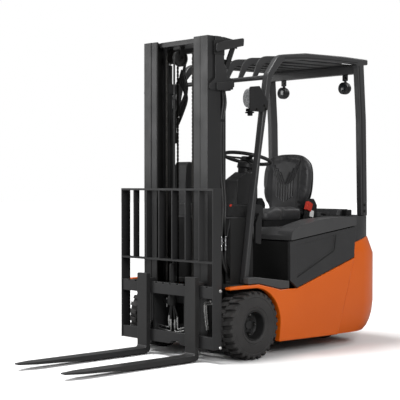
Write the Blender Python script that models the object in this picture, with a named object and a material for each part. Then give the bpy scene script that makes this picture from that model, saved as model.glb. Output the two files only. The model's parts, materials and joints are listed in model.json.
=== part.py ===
"""Three-wheel electric counterbalance forklift with a two-stage mast.

Metres, +Z up, forks pointing to -Y, the driver's left at +X.
Shapes are drawn in the axle frame, whose origin is on the ground under the middle of the front axle.
An empty named truck carries that frame, so that the origin of the world is under the middle of the
truck's overall box. Each moving group hangs from an empty on its joint's axis.
"""

import math

import bmesh
import bpy
from mathutils import Matrix, Vector

# ---------------------------------------------------------------- driving dimensions
FORK_LENGTH = 1.020
LOAD_DISTANCE = 0.362  # front axle to fork face
WHEELBASE = 1.170
REAR_OVERHANG = 0.282
BODY_HALF = 0.525  # half of the body's width
PANEL_IN = 0.4755  # inner face of the side panels
MAST_HEIGHT = 2.145
GUARD_TOP = 2.085
FLOOR_TOP = 0.500
LIFT_STROKE = 1.600  # of the inner mast, and again of the carriage on it

SEAT_GAP = 0.0003  # between pieces that rest on each other
RUN_GAP = 0.0005  # between a shaft and its hole
TILT_EYE_GAP = 0.0012  # round the mast pin, where the cylinder linkage is opened
CLEAR = 0.006  # between pieces that pass each other

OVERALL_LENGTH = FORK_LENGTH + LOAD_DISTANCE + WHEELBASE + REAR_OVERHANG
AXLE_Y = FORK_LENGTH + LOAD_DISTANCE - OVERALL_LENGTH / 2
REAR_Y = WHEELBASE + REAR_OVERHANG  # rear face of the counterweight, from the front axle

# ---------------------------------------------------------------- wheels
FRONT_TYRE_R, FRONT_TYRE_W = 0.2285, 0.175
FRONT_RIM_R = 0.100
FRONT_TYRE_OUT = BODY_HALF  # outer face of the tyre
FRONT_TYRE_IN = FRONT_TYRE_OUT - FRONT_TYRE_W
REAR_TYRE_R, REAR_TYRE_W = 0.1905, 0.113
REAR_RIM_R = 0.080
REAR_TYRE_IN = 0.035
AXLE_TUBE_R = 0.055
STUB_R = 0.030
REAR_SHAFT_R = 0.020

# ---------------------------------------------------------------- mast
MAST_FRONT = -0.244  # front face of both pairs of channels
OUTER_REAR = -0.126
OUTER_OUT, OUTER_IN = 0.323, 0.247  # outer channel, across the truck
INNER_OUT, INNER_IN = OUTER_IN - SEAT_GAP, 0.187
INNER_REAR = -0.131
OUTER_FLANGE, INNER_FLANGE = 0.020, 0.018
OUTER_FOOT, INNER_FOOT = 0.060, 0.075
PIVOT = (0.0, FRONT_TYRE_R)  # mast pivot: the front axle, as (y, z)
CYLINDER_X, CYLINDER_Y, CYLINDER_R = 0.270, -0.068, 0.030
ROD_R = 0.0185
CYLINDER_FOOT, CYLINDER_TOP = 0.300, MAST_HEIGHT - 0.145
CROSSHEAD_FOOT, CROSSHEAD_TOP = MAST_HEIGHT - 0.040, MAST_HEIGHT - 0.005
SHEAVE_Y, SHEAVE_Z, SHEAVE_R = -0.150, MAST_HEIGHT - 0.105, 0.050
PULLEY_Z = MAST_HEIGHT - 0.115  # of the hose pulley between the chains
CHAIN_X, CHAIN_W, CHAIN_T = 0.113, 0.016, 0.008
MID_BEAM_FOOT, MID_BEAM_TOP = 0.340, 0.460
TILT_X, TILT_EYE, TILT_ANCHOR = 0.195, (-0.075, 0.400), (0.300, 0.400)
TILT_BARREL_R, TILT_ROD_R, TILT_PIN_R = 0.030, 0.015, 0.010

# ---------------------------------------------------------------- fork carriage
FORK_FACE = -LOAD_DISTANCE
FORK_T, FORK_W = 0.035, 0.100
FORK_FOOT, FORK_TOP = 0.010, 0.555
BLADE_TOP = FORK_FOOT + FORK_T
FORK_X = {"left": 0.280, "right": -0.210}  # centres of the forks: they hang in different notches
CARRIAGE_HALF = 0.460
BAR_FRONT, BAR_T = FORK_FACE + FORK_T + SEAT_GAP, 0.030
UPPER_BAR, LOWER_BAR = (0.421, 0.500), (0.092, 0.172)  # heights of both bars
BACKREST_FRONT, BACKREST_TOP = -0.333, 1.136
BACKREST_MID = 0.655

# ---------------------------------------------------------------- body
ARCH_R = 0.248
BATTERY_FRONT, BATTERY_DEPTH = 0.368, 0.522
BATTERY_HALF, BATTERY_FOOT, BATTERY_TOP = 0.415, 0.1303, 0.757
BOX_WALL = 0.020
CORNER_R = 0.320  # rear corners, seen from above
WELL_R = 0.250  # round well that the steered wheels turn in
HOOD_FRONT, HOOD_REAR = 0.358, 1.055
WELL_FLOOR = 0.862  # of the low place under the seat
SEAT_FLOOR, BACK_FLOOR = 0.905, 0.900  # what the cushion and the back rest on
SEAT_REAR = 0.809  # back end of the cushion
HINGE_Y, HINGE_Z, HINGE_R = 1.0585, 0.942, 0.006
COVER_TOP = 0.930
COVER_INSET = 0.034  # of the rear cover and the counterweight's top edge
SEAM = [(0.847, 0.093), (1.031, 0.631)]  # between side panel and counterweight, as (y, z)
GUARD_OUT, GUARD_T = 0.470, 0.050
GUARD_IN = GUARD_OUT - GUARD_T - SEAT_GAP  # where the pieces between both guard frames end

COWL_TOP = 0.940

# ---------------------------------------------------------------- steering wheel
WHEEL_AT = Vector((0.150, 0.300, 1.345))
WHEEL_R, WHEEL_RIM_R = 0.165, 0.013
WHEEL_TILT = math.radians(14)


# ================================================================ making solids
def clear_scene():
    for obj in list(bpy.data.objects):
        bpy.data.objects.remove(obj)


def paint(name, colour, roughness, metallic):
    material = bpy.data.materials.new(name)
    material.use_nodes = True
    shader = material.node_tree.nodes["Principled BSDF"]
    shader.inputs["Base Color"].default_value = (*colour, 1)
    shader.inputs["Roughness"].default_value = roughness
    shader.inputs["Metallic"].default_value = metallic
    return material


def new_object(name, mesh_maker):
    """An object in the axle frame whose mesh is filled in by mesh_maker(bm)."""
    bm = bmesh.new()
    mesh_maker(bm)
    bmesh.ops.recalc_face_normals(bm, faces=bm.faces)
    mesh = bpy.data.meshes.new(name)
    bm.to_mesh(mesh)
    bm.free()
    obj = bpy.data.objects.new(name, mesh)
    bpy.context.scene.collection.objects.link(obj)
    return obj


def prism(name, outline, low, high, axis):
    """The outline, a list of pairs on the plane across axis in x, y, z order, run from low to high."""

    def point(pair, along):
        pair = list(pair)
        pair.insert("xyz".index(axis), along)
        return pair

    def make(bm):
        face = bm.faces.new([bm.verts.new(point(pair, low)) for pair in outline])
        moved = bmesh.ops.extrude_face_region(bm, geom=[face])["geom"]
        verts = [v for v in moved if isinstance(v, bmesh.types.BMVert)]
        shift = Vector(point((0, 0), high - low))
        bmesh.ops.translate(bm, verts=verts, vec=shift)

    return new_object(name, make)


def box(name, x, y, z):
    return prism(name, [(x[0], y[0]), (x[1], y[0]), (x[1], y[1]), (x[0], y[1])], *z, "z")


def shaft(name, at, radius, low, high, axis, sides=32):
    """A round bar along axis, from low to high, about at, a pair on the plane across it."""
    return prism(name, circle(at, radius, sides), low, high, axis)


def circle(at, radius, sides=32, start=0.0, turn=360.0):
    """Points round a circle. A full turn leaves out the last point, which is the first again."""
    count = sides if turn == 360.0 else sides + 1
    angles = [math.radians(start + turn * i / sides) for i in range(count)]
    return [(at[0] + radius * math.cos(a), at[1] + radius * math.sin(a)) for a in angles]


def rounded(corners, sides=6):
    """An outline from (a, b, radius) corners, each rounded by an arc that touches both its sides."""
    out = []
    for i, (a, b, radius) in enumerate(corners):
        here = Vector((a, b))
        if radius == 0:
            out.append((a, b))
            continue
        back = (Vector(corners[i - 1][:2]) - here).normalized()
        ahead = (Vector(corners[(i + 1) % len(corners)][:2]) - here).normalized()
        half = back.angle(ahead) / 2
        centre = here + (back + ahead).normalized() * radius / math.sin(half)
        first = here + back * radius / math.tan(half) - centre
        last = here + ahead * radius / math.tan(half) - centre
        sweep = first.angle_signed(last)
        for k in range(sides + 1):
            out.append(tuple(centre + Matrix.Rotation(-sweep * k / sides, 2) @ first))
    return out


def turned(name, profile, sides, about):
    """A closed (radius, x) profile turned about the X axis through about, a (y, z) pair."""

    def make(bm):
        ring = [bm.verts.new((x, about[0] + r, about[1])) for r, x in profile]
        edges = [bm.edges.new((ring[i - 1], ring[i])) for i in range(len(ring))]
        bmesh.ops.spin(
            bm,
            geom=ring + edges,
            cent=(0, *about),
            axis=(1, 0, 0),
            angle=math.tau,
            steps=sides,
            use_merge=True,
        )
        bmesh.ops.remove_doubles(bm, verts=bm.verts, dist=1e-6)

    return new_object(name, make)


def lofted(name, rings):
    """A solid through closed rings of points, all with the same number, capped at both ends."""

    def make(bm):
        levels = [[bm.verts.new(point) for point in ring] for ring in rings]
        bm.faces.new(levels[0])
        bm.faces.new(levels[-1])
        for below, above in zip(levels, levels[1:]):
            for i in range(len(below)):
                bm.faces.new((below[i - 1], below[i], above[i], above[i - 1]))

    return new_object(name, make)


def combine(obj, others, operation):
    """Applies a Boolean with each of the others, which are used up."""
    for other in others:
        modifier = obj.modifiers.new("combine", "BOOLEAN")
        modifier.operation = operation
        modifier.object = other
        modifier.solver = "EXACT"
        graph = bpy.context.evaluated_depsgraph_get()
        mesh = bpy.data.meshes.new_from_object(obj.evaluated_get(graph))
        obj.modifiers.clear()
        old = obj.data
        obj.data = mesh
        bpy.data.meshes.remove(old)
        bpy.data.objects.remove(other)
    return obj


def join(obj, *others):
    return combine(obj, others, "UNION")


def cut(obj, *others):
    return combine(obj, others, "DIFFERENCE")


def soften(obj, width, segments=2, angle=40):
    """A Bevel modifier on the sharper edges."""
    modifier = obj.modifiers.new("soften", "BEVEL")
    modifier.width = width
    modifier.segments = segments
    modifier.limit_method = "ANGLE"
    modifier.angle_limit = math.radians(angle)
    return obj


def mirrored(outline):
    """The outline on the other side of the truck: its first number is x."""
    return [(-a, b) for a, b in reversed(outline)]


def side_span(side, near, far):
    """An x span on a side, from near to far off the middle, low first."""
    return (near, far) if side == "left" else (-far, -near)


SIDES = ("left", "right")


# ================================================================ carriers
def carrier(name, at, parent=None):
    """An empty at a point of the axle frame."""
    empty = bpy.data.objects.new(name, None)
    empty["at"] = list(at)
    bpy.context.scene.collection.objects.link(empty)
    empty.parent = parent
    empty.location = Vector(at) - (Vector(parent["at"]) if parent else Vector())
    return empty


def fit(parent, material, *objs):
    """Hangs pieces drawn in the axle frame from a carrier, and paints them."""
    for obj in objs:
        obj.parent = parent
        obj.location = -Vector(parent["at"])
        obj.data.materials.clear()
        obj.data.materials.append(material)
        obj.data.shade_smooth()
        obj.data.set_sharp_from_angle(angle=math.radians(35))


# ================================================================ wheels
def tyre_profile(radius, bore, near, far, shoulder):
    """Section of a solid tyre from x near to x far, with rounded shoulders."""
    middle = (near + far) / 2
    half = abs(far - near) / 2
    right = [
        (radius, middle + half - shoulder),
        (radius - shoulder * 0.45, middle + half * 0.93),
        (radius - shoulder * 1.6, middle + half),
        (bore + 0.012, middle + half),
        (bore, middle + half * 0.93),
    ]
    left = [(r, 2 * middle - x) for r, x in reversed(right)]
    return left + right


def front_wheel(side, sign):
    rubber = tyre_profile(FRONT_TYRE_R, FRONT_RIM_R, FRONT_TYRE_IN, FRONT_TYRE_OUT, 0.022)
    band = FRONT_RIM_R - SEAT_GAP
    bore = STUB_R + RUN_GAP
    rim_profile = [
        (bore, 0.385),
        (0.046, 0.385),
        (0.052, 0.425),
        (0.084, 0.425),
        (0.090, 0.365),
        (band, 0.362),
        (band, 0.512),
        (0.090, 0.516),
        (0.084, 0.445),
        (0.055, 0.440),
        (0.046, 0.470),
        (0.001, 0.474),
        (0.001, 0.430),
        (bore, 0.430),
    ]
    made = []
    for label, profile, sides in (("tyre", rubber, 48), ("rim", rim_profile, 36)):
        flipped = [(r, sign * x) for r, x in profile]
        made.append(turned(f"front_{side}_{label}", flipped, sides, PIVOT))
    plug = shaft("plug", PIVOT, 0.004, *sorted((sign * 0.4302, sign * 0.4738)), "x", 12)
    join(made[1], plug)
    return made


def rear_wheels():
    axis = (WHEELBASE, REAR_TYRE_R)
    far = REAR_TYRE_IN + REAR_TYRE_W
    tyres = []
    for side, sign in zip(SIDES, (1, -1)):
        profile = tyre_profile(REAR_TYRE_R, REAR_RIM_R, REAR_TYRE_IN, far, 0.016)
        tyres.append(turned(f"rear_{side}_tyre", [(r, sign * x) for r, x in profile], 40, axis))
    band, bore = REAR_RIM_R - SEAT_GAP, REAR_SHAFT_R + RUN_GAP
    rims = []
    for side, sign in zip(SIDES, (1, -1)):
        profile = [
            (bore, 0.032),
            (0.036, 0.032),
            (0.040, 0.070),
            (0.066, 0.070),
            (0.070, 0.042),
            (band, 0.040),
            (band, 0.143),
            (0.070, 0.145),
            (0.066, 0.086),
            (0.040, 0.082),
            (0.034, 0.125),
            (bore, 0.125),
        ]
        rims.append(turned(f"rear_{side}_rim", [(r, sign * x) for r, x in profile], 32, axis))
    return tyres, rims


def steer_unit():
    """Turntable, leg and shaft that carry the two rear wheels."""
    y = WHEELBASE
    leg = box("steer_unit", (-0.024, 0.024), (y - 0.075, y + 0.075), (0.150, 0.405))
    table = shaft("table", (0, y), 0.125, 0.400, 0.430 - SEAT_GAP, "z", 40)
    pin = shaft("pin", (0, y), 0.030, 0.42, 0.462, "z", 32)
    axle = shaft("axle", (y, REAR_TYRE_R), REAR_SHAFT_R, -0.135, 0.135, "x", 32)
    return join(leg, table, pin, axle)


def drive_axle():
    housing = box("drive_axle", (-0.200, 0.200), (-0.060, 0.085 - SEAT_GAP), (0.150, 0.310))
    tube = shaft("tube", PIVOT, AXLE_TUBE_R, -0.340, 0.340, "x", 48)
    stubs = shaft("stubs", PIVOT, STUB_R, -0.425, 0.425, "x", 32)
    return join(housing, tube, stubs)


# ================================================================ chassis and body
def chassis_frame():
    box_rear = BATTERY_FRONT + BATTERY_DEPTH + 0.003
    front_wall = [(-0.33, 0.12), (0.33, 0.12), (0.33, 0.345), (0.14, 0.345), (0.14, 0.467)]
    front_wall += mirrored(front_wall[2:])
    frame = prism("chassis_frame", front_wall, 0.085, 0.115, "y")
    panel_in = BODY_HALF - 0.030 - SEAT_GAP
    wall_front = BATTERY_FRONT - 0.003 - BOX_WALL
    half = BATTERY_HALF + 0.015
    leg_wall = [(half, 0.10), (half, 0.505), (panel_in, 0.505), (panel_in, 0.770)]
    leg_wall += mirrored(leg_wall)
    pieces = [prism("leg_wall", leg_wall, wall_front, wall_front + BOX_WALL, "y")]
    for side in SIDES:
        x = side_span(side, 0.290, 0.330)
        pieces.append(box("rail", x, (0.10, wall_front + 0.01), (0.12, 0.30)))
        x = side_span(side, half - 0.010, half)
        pieces.append(box("side", x, (wall_front + 0.005, box_rear + 0.01), (0.10, 0.45)))
        x = side_span(side, half - 0.005, PANEL_IN - SEAT_GAP)
        for y in (wall_front + 0.01, 0.700):
            pieces.append(box("outrigger", x, (y, y + 0.06), (0.18, 0.34)))
    pieces.append(box("bottom", (-half, half), (wall_front + 0.005, box_rear + 0.01), (0.10, 0.13)))
    pieces.append(box("rear", (-half, half), (box_rear, box_rear + BOX_WALL), (0.10, 0.62)))
    pieces.append(box("plate", (-0.15, 0.15), (box_rear + 0.005, WHEELBASE + 0.13), (0.430, 0.470)))
    for side in SIDES:
        for near in (TILT_X - 0.026, TILT_X + 0.018):
            x = side_span(side, near, near + 0.008)
            y, z = TILT_ANCHOR
            ear = box("ear", x, (y - 0.018, wall_front + 0.01), (z - 0.018, z + 0.018))
            pieces.append(ear)
        x = side_span(side, TILT_X - 0.024, TILT_X + 0.024)
        pieces.append(shaft("pin", TILT_ANCHOR, TILT_PIN_R, *x, "x", 24))
    join(frame, *pieces)
    return cut(frame, shaft("bore", (0, WHEELBASE), 0.030 + RUN_GAP, 0.40, 0.50, "z", 32))


def floor_plate():
    """Floor that reaches forward over each front tyre, on both sides of the mast."""
    outline = [
        (0.345, 0.030),
        (0.345, -0.130),
        (GUARD_OUT, -0.130),
        (GUARD_OUT, 0.344),
    ]
    return prism("floor_plate", outline + mirrored(outline), 0.4673, FLOOR_TOP, "z")


def side_panel(side):
    outline = [
        (0.236, 0.100),
        *circle(PIVOT, ARCH_R, 14, 0, 90),
        (-0.235, 0.4765),
        (-0.235, 0.4955),
        (0.040, 0.500),
        (0.130, 0.480),
        (0.250, 0.452),
        (0.414, 0.449),
        (SEAM[1][0] - 0.004, SEAM[1][1] - 0.001),
        (SEAM[0][0] - 0.004, SEAM[0][1]),
    ]
    return prism(f"{side}_side_panel", outline, *side_span(side, PANEL_IN, BODY_HALF), "x")


def side_sill(side):
    """Black step edge between the floor and the side panel."""
    outline = [
        (-0.060, FLOOR_TOP + 0.004),
        (0.042, FLOOR_TOP + 0.004),
        (0.132, 0.4843),
        (0.251, 0.4563),
        (0.338, 0.4545),
        (0.338, 0.505),
        (0.020, 0.548),
        (-0.060, 0.548),
    ]
    x = side_span(side, GUARD_OUT + SEAT_GAP, BODY_HALF - 0.005)
    return prism(f"{side}_sill", outline, *x, "x")


def rear_outline(inset, side_inset, front):
    """The truck's rear seen from above, drawn in at the back and the sides and cut off at y front."""
    half = BODY_HALF - 0.005 - side_inset
    centre = (half - CORNER_R, REAR_Y - inset - CORNER_R)
    right = [(half, front)] + circle(centre, CORNER_R, 12, 0, 90)
    return right + mirrored(right)


def counterweight():
    """Lofted between levels: curved in at its foot, upright, then sloping in to the cover."""
    levels = [  # height, inset at the back, inset at the sides
        (0.093, 0.095, 0.020),
        (0.120, 0.062, 0.012),
        (0.165, 0.034, 0.006),
        (0.220, 0.013, 0.002),
        (0.300, 0.000, 0.000),
        (0.655, 0.000, 0.000),
        (0.790, COVER_INSET, COVER_INSET),
    ]
    rings = [[(x, y, z) for x, y in rear_outline(back, sides, 0.80)] for z, back, sides in levels]
    body = lofted("counterweight", rings)
    (y0, z0), (y1, z1) = SEAM
    front = [(0.5, 0.0), (y0 - 0.032, 0.0), (y0, z0), (y1, z1), (y1 + 0.010, 0.735)]
    front += [(1.225, 0.775), (REAR_Y + 0.1, 0.775), (REAR_Y + 0.1, 0.9), (0.5, 0.9)]
    slant = prism("slant", front, -0.6, 0.6, "x")
    middle = box("middle", (-0.44, 0.44), (0.7, 0.925), (0.0, 0.9))
    slot = box("slot", (-0.156, 0.156), (0.9, WHEELBASE - 0.17), (0.0, 0.478))
    well = shaft("well", (0, WHEELBASE), WELL_R, 0.0, 0.478, "z", 48)
    return cut(body, slant, middle, join(well, slot))


def rear_cover():
    """Black cover over the counterweight, which the rear pillars stand on."""
    cover = prism("rear_cover", rear_outline(COVER_INSET, COVER_INSET, 1.062), 0.640, COVER_TOP, "z")
    seam = SEAM[1][0] + 0.010
    below = [(1.0, 0.60), (1.0, 0.7353), (seam, 0.7353), (1.225, 0.7753)]
    below += [(REAR_Y + 0.1, 0.7753), (REAR_Y + 0.1, 0.60)]
    cut(cover, prism("under", below, -0.6, 0.6, "x"))
    for side in SIDES:
        x = side_span(side, 0.200, 0.230)
        ear = box("ear", x, (HINGE_Y - 0.001, 1.095), (COVER_TOP - 0.008, HINGE_Z + 0.007))
        join(cover, ear)
    pin = shaft("pin", (HINGE_Y, HINGE_Z), HINGE_R, -0.225, 0.225, "x", 20)
    return join(cover, pin)


def battery():
    half = BATTERY_HALF
    y = (BATTERY_FRONT, BATTERY_FRONT + BATTERY_DEPTH)
    return box("battery", (-half, half), y, (BATTERY_FOOT, BATTERY_TOP))


def battery_panel(side):
    """Black side panel over the battery, with its shallow recess."""
    outline = [
        (0.3455, 0.506),
        (0.372, 0.487),
        (0.416, 0.4545),
        (1.027, 0.6365),
        (1.036, 0.735),
        (1.052, 0.858),
        (0.3455, 0.771),
    ]
    x = side_span(side, BODY_HALF - 0.030, BODY_HALF - 0.004)
    panel = prism(f"{side}_battery_panel", outline, *x, "x")
    recess = rounded(
        [(0.400, 0.746, 0.006), (0.818, 0.806, 0.02), (0.800, 0.705, 0.03), (0.412, 0.530, 0.006)]
    )
    x = side_span(side, BODY_HALF - 0.009, BODY_HALF + 0.02)
    return cut(panel, prism("recess", recess, *x, "x"))


def hood():
    """Lid over the battery, hollow below, with a low place for the seat."""
    outline = [
        (HOOD_FRONT, 0.780),
        (HOOD_REAR, 0.867),
        (HOOD_REAR, 0.928),
        (0.819, 0.926),
        (0.640, 0.915),
        (0.524, 0.891),
        (0.467, 0.878),
        (0.411, 0.864),
        (0.388, 0.853),
        (0.370, 0.835),
        (HOOD_FRONT, 0.806),
    ]
    half = BODY_HALF - 0.005
    lid = prism("hood", outline, -half, half, "x")
    inside = ((-half + 0.03, half - 0.03), (HOOD_FRONT + 0.025, HOOD_REAR - 0.025), (0.70, 0.820))
    seat_well = box("seat_well", (-0.36, 0.36), (0.410, 0.958), (WELL_FLOOR, 0.97))
    scoop = [(0.30, 0.790), (HOOD_FRONT, 0.812), (0.412, WELL_FLOOR), (0.412, 0.90), (0.30, 0.90)]
    cut(lid, box("hollow", *inside), seat_well, prism("scoop", scoop, -0.385, 0.385, "x"))
    for side in SIDES:
        x = side_span(side, 0.140, 0.180)
        lug = box("lug", x, (HINGE_Y - 0.045, HINGE_Y), (0.918, HINGE_Z + 0.011))
        eye = shaft("eye", (HINGE_Y, HINGE_Z), 0.011, *x, "x", 24)
        join(lid, lug, eye)
    x = (-0.24, 0.24)
    return cut(lid, shaft("bore", (HINGE_Y, HINGE_Z), HINGE_R + RUN_GAP, *x, "x", 24))


# ================================================================ seat
def seat_base():
    """Suspension box with the hip guards and the armrest that stand on it."""
    floor = WELL_FLOOR + SEAT_GAP
    base = box("seat_base", (-0.20, 0.20), (0.42, 0.80), (floor, SEAT_FLOOR))
    pieces = [box("cross", (-0.272, 0.272), (0.77, 0.88), (floor, BACK_FLOOR))]
    guard = rounded(
        [
            (0.760, floor, 0),
            (0.885, floor, 0),
            (0.905, 1.010, 0.030),
            (0.868, 1.060, 0.025),
            (0.825, 1.055, 0.030),
            (0.790, 0.960, 0.040),
        ]
    )
    for side in SIDES:
        pieces.append(prism("guard", guard, *side_span(side, 0.250, 0.272), "x"))
    pieces.append(box("post", (-0.330, -0.262), (0.79, 0.83), (floor + 0.02, 1.120)))
    pad = rounded([(0.36, 1.10, 0.01), (0.83, 1.10, 0.01), (0.83, 1.15, 0.02), (0.36, 1.15, 0.02)])
    pieces.append(prism("pad", pad, -0.345, -0.262, "x"))
    return join(base, *pieces)


def seat_cushion():
    front, half = 0.385, 0.235
    outline = rounded(
        [(-half, front, 0.06), (half, front, 0.06), (half, SEAT_REAR, 0.03), (-half, SEAT_REAR, 0.03)]
    )
    return soften(prism("seat_cushion", outline, SEAT_FLOOR + SEAT_GAP, 0.985, "z"), 0.018, 3, 60)


def seat_back():
    outline = [
        (SEAT_REAR + 0.003, BACK_FLOOR + SEAT_GAP),
        (0.872, BACK_FLOOR + SEAT_GAP),
        (0.925, 1.370),
        (0.915, 1.395),
        (0.890, 1.402),
        (0.865, 1.396),
        (0.842, 1.360),
    ]
    back = prism("seat_back", outline, -0.24, 0.24, "x")
    right = [(0.20, 0.88, 0), (0.24, 1.00, 0.05), (0.24, 1.41, 0.10)]
    left = [(-x, z, radius) for x, z, radius in reversed(right)]
    return combine(back, [prism("keep", rounded(right + left), 0.7, 1.1, "y")], "INTERSECT")


# ================================================================ driver's controls
def front_cowl():
    """Wall in front of the driver's legs, with a side wing forward of each front pillar."""
    outline = [
        (GUARD_IN, 0.085),
        (GUARD_IN, -0.125),
        (GUARD_IN - 0.008, -0.125),
        (GUARD_IN - 0.008, 0.045),
    ]
    outline += mirrored(outline)
    return prism("front_cowl", outline, FLOOR_TOP + SEAT_GAP, COWL_TOP, "z")


def tilted_shaft(name, radius, low, high, sides=24):
    """A round bar on the steering wheel's axis."""
    obj = shaft(name, (0, 0), radius, low, high, "z", sides)
    turn = Matrix.Rotation(-WHEEL_TILT, 4, "X")
    obj.data.transform(Matrix.Translation(WHEEL_AT) @ turn)
    return obj


def dash_console():
    """Shelf on the cowl with the steering column's housing and the display pod."""
    foot = COWL_TOP + SEAT_GAP
    shelf = rounded([(0.050, foot, 0), (0.190, foot, 0.01), (0.180, 1.02, 0.02), (0.090, 1.03, 0.02)])
    console = prism("dash_console", shelf, -GUARD_IN, GUARD_IN, "x")
    housing = [
        (0.095, 0.980),
        (0.185, 0.960),
        (0.235, 1.000),
        (0.325, 1.215),
        (0.300, 1.245),
        (0.240, 1.250),
        (0.140, 1.190),
    ]
    middle = WHEEL_AT.x
    column = prism("column", housing, middle - 0.095, middle + 0.095, "x")
    pod = rounded([(0.100, 1.00, 0), (0.180, 1.00, 0), (0.205, 1.325, 0.03), (0.120, 1.330, 0.03)])
    display = prism("pod", pod, -GUARD_IN + 0.005, -0.275, "x")
    neck = tilted_shaft("neck", 0.032, -0.135, -0.030)
    return join(console, column, display, neck)


def steering_wheel():
    """Ring with three spokes, made flat and then set on its axis."""

    def ring(bm):
        verts = [bm.verts.new((a, 0, b)) for a, b in circle((WHEEL_R, 0), WHEEL_RIM_R, 10)]
        edges = [bm.edges.new((verts[i - 1], verts[i])) for i in range(len(verts))]
        bmesh.ops.spin(
            bm,
            geom=verts + edges,
            cent=(0, 0, 0),
            axis=(0, 0, 1),
            angle=math.tau,
            steps=36,
            use_merge=True,
        )
        bmesh.ops.remove_doubles(bm, verts=bm.verts, dist=1e-6)

    wheel = new_object("steering_wheel", ring)
    hub = shaft("hub", (0, 0), 0.042, -0.0295, 0.010, "z", 24)
    spokes = []
    for angle in (90, 210, 330):
        spoke = box("spoke", (0.0, WHEEL_R), (-0.014, 0.014), (-0.008, 0.002))
        spoke.data.transform(Matrix.Rotation(math.radians(angle), 4, "Z"))
        spokes.append(spoke)
    join(wheel, *spokes, hub)
    wheel.data.transform(Matrix.Translation(WHEEL_AT) @ Matrix.Rotation(-WHEEL_TILT, 4, "X"))
    return wheel


# ================================================================ overhead guard
def guard_frame(side):
    """Front pillar, roof rail and rear pillar of one side, as one bent frame."""
    foot, rear_foot = FLOOR_TOP + SEAT_GAP, COVER_TOP + SEAT_GAP
    outline = rounded(
        [
            (-0.050, foot, 0),
            (0.025, 1.016, 0),
            (0.081, 1.330, 0),
            (0.124, 1.611, 0),
            (0.172, 1.900, 0.10),
            (0.286, 2.045, 0.12),
            (0.566, GUARD_TOP - 0.008, 0),
            (0.981, GUARD_TOP, 0),
            (1.245, GUARD_TOP - 0.004, 0),
            (1.245, GUARD_TOP - 0.044, 0),
            (1.200, GUARD_TOP - 0.044, 0),
            (1.228, 1.636, 0),
            (1.243, rear_foot, 0),
            (1.176, rear_foot, 0),
            (1.158, 1.636, 0),
            (1.128, GUARD_TOP - 0.046, 0.03),
            (0.811, GUARD_TOP - 0.046, 0),
            (0.566, GUARD_TOP - 0.052, 0),
            (0.335, 2.010, 0.10),
            (0.222, 1.895, 0.10),
            (0.161, 1.613, 0),
            (0.108, 1.326, 0),
            (0.029, 0.800, 0),
            (-0.010, foot, 0),
        ],
        6,
    )
    return prism(f"guard_{side}_frame", outline, *side_span(side, GUARD_OUT - GUARD_T, GUARD_OUT), "x")


def roof_grille():
    """Bars of the roof with the cross tube at their front and the cross beam at their rear."""
    grille = shaft("roof_grille", (0.232, 1.892), 0.016, -GUARD_IN, GUARD_IN, "x", 16)
    under = GUARD_TOP - 0.052
    bar = rounded(
        [
            (0.215, 1.886, 0),
            (0.285, 2.050, 0.12),
            (0.560, GUARD_TOP - 0.014, 0),
            (1.165, GUARD_TOP - 0.008, 0),
            (1.165, under, 0),
            (0.335, under - 0.020, 0.10),
            (0.250, 1.886, 0),
        ],
        6,
    )
    for i in range(-2, 3):
        join(grille, prism("bar", bar, 0.140 * i - 0.005, 0.140 * i + 0.005, "x"))
    return join(grille, box("beam", (-GUARD_IN, GUARD_IN), (1.135, 1.190), (1.975, under + 0.010)))


def work_light(side):
    """Lamp ahead of the front pillar, on the plate that is bolted to the pillar."""
    plate = rounded(
        [
            (-0.006, 1.647, 0.006),
            (0.120, 1.645, 0.010),
            (0.168, 1.662, 0.010),
            (0.172, 1.722, 0.010),
            (0.088, 1.822, 0.012),
            (-0.006, 1.812, 0.012),
        ],
        3,
    )
    x = side_span(side, GUARD_OUT + SEAT_GAP, GUARD_OUT + 0.009)
    light = prism(f"work_light_{side}", plate, *x, "x")
    arm = box("arm", side_span(side, 0.385, GUARD_OUT + 0.005), (0.045, 0.080), (1.650, 1.680))
    centre = 0.412 if side == "left" else -0.412
    lens = [(centre + 0.050 * a, 1.740 + 0.068 * b) for a, b in circle((0, 0), 1, 32)]
    return join(light, arm, prism("lamp", lens, 0.030, 0.095, "y"))


def rear_lamp(side):
    centre = 0.310 if side == "left" else -0.310
    lamp = shaft(f"rear_lamp_{side}", (centre, 1.872), 0.042, 1.125, 1.190, "y", 28)
    stem = box("stem", (centre - 0.012, centre + 0.012), (1.148, 1.170), (1.900, 1.975 - SEAT_GAP))
    return join(lamp, stem)


# ================================================================ mast
def channel(name, side, out, inside, rear, flange, web, foot):
    """A C section open towards the middle of the truck."""
    outline = [
        (inside, MAST_FRONT),
        (out, MAST_FRONT),
        (out, rear),
        (inside, rear),
        (inside, rear - flange),
        (out - web, rear - flange),
        (out - web, MAST_FRONT + flange),
        (inside, MAST_FRONT + flange),
    ]
    outline = outline if side == "left" else mirrored(outline)
    return prism(name, outline, foot, MAST_HEIGHT, "z")


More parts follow.
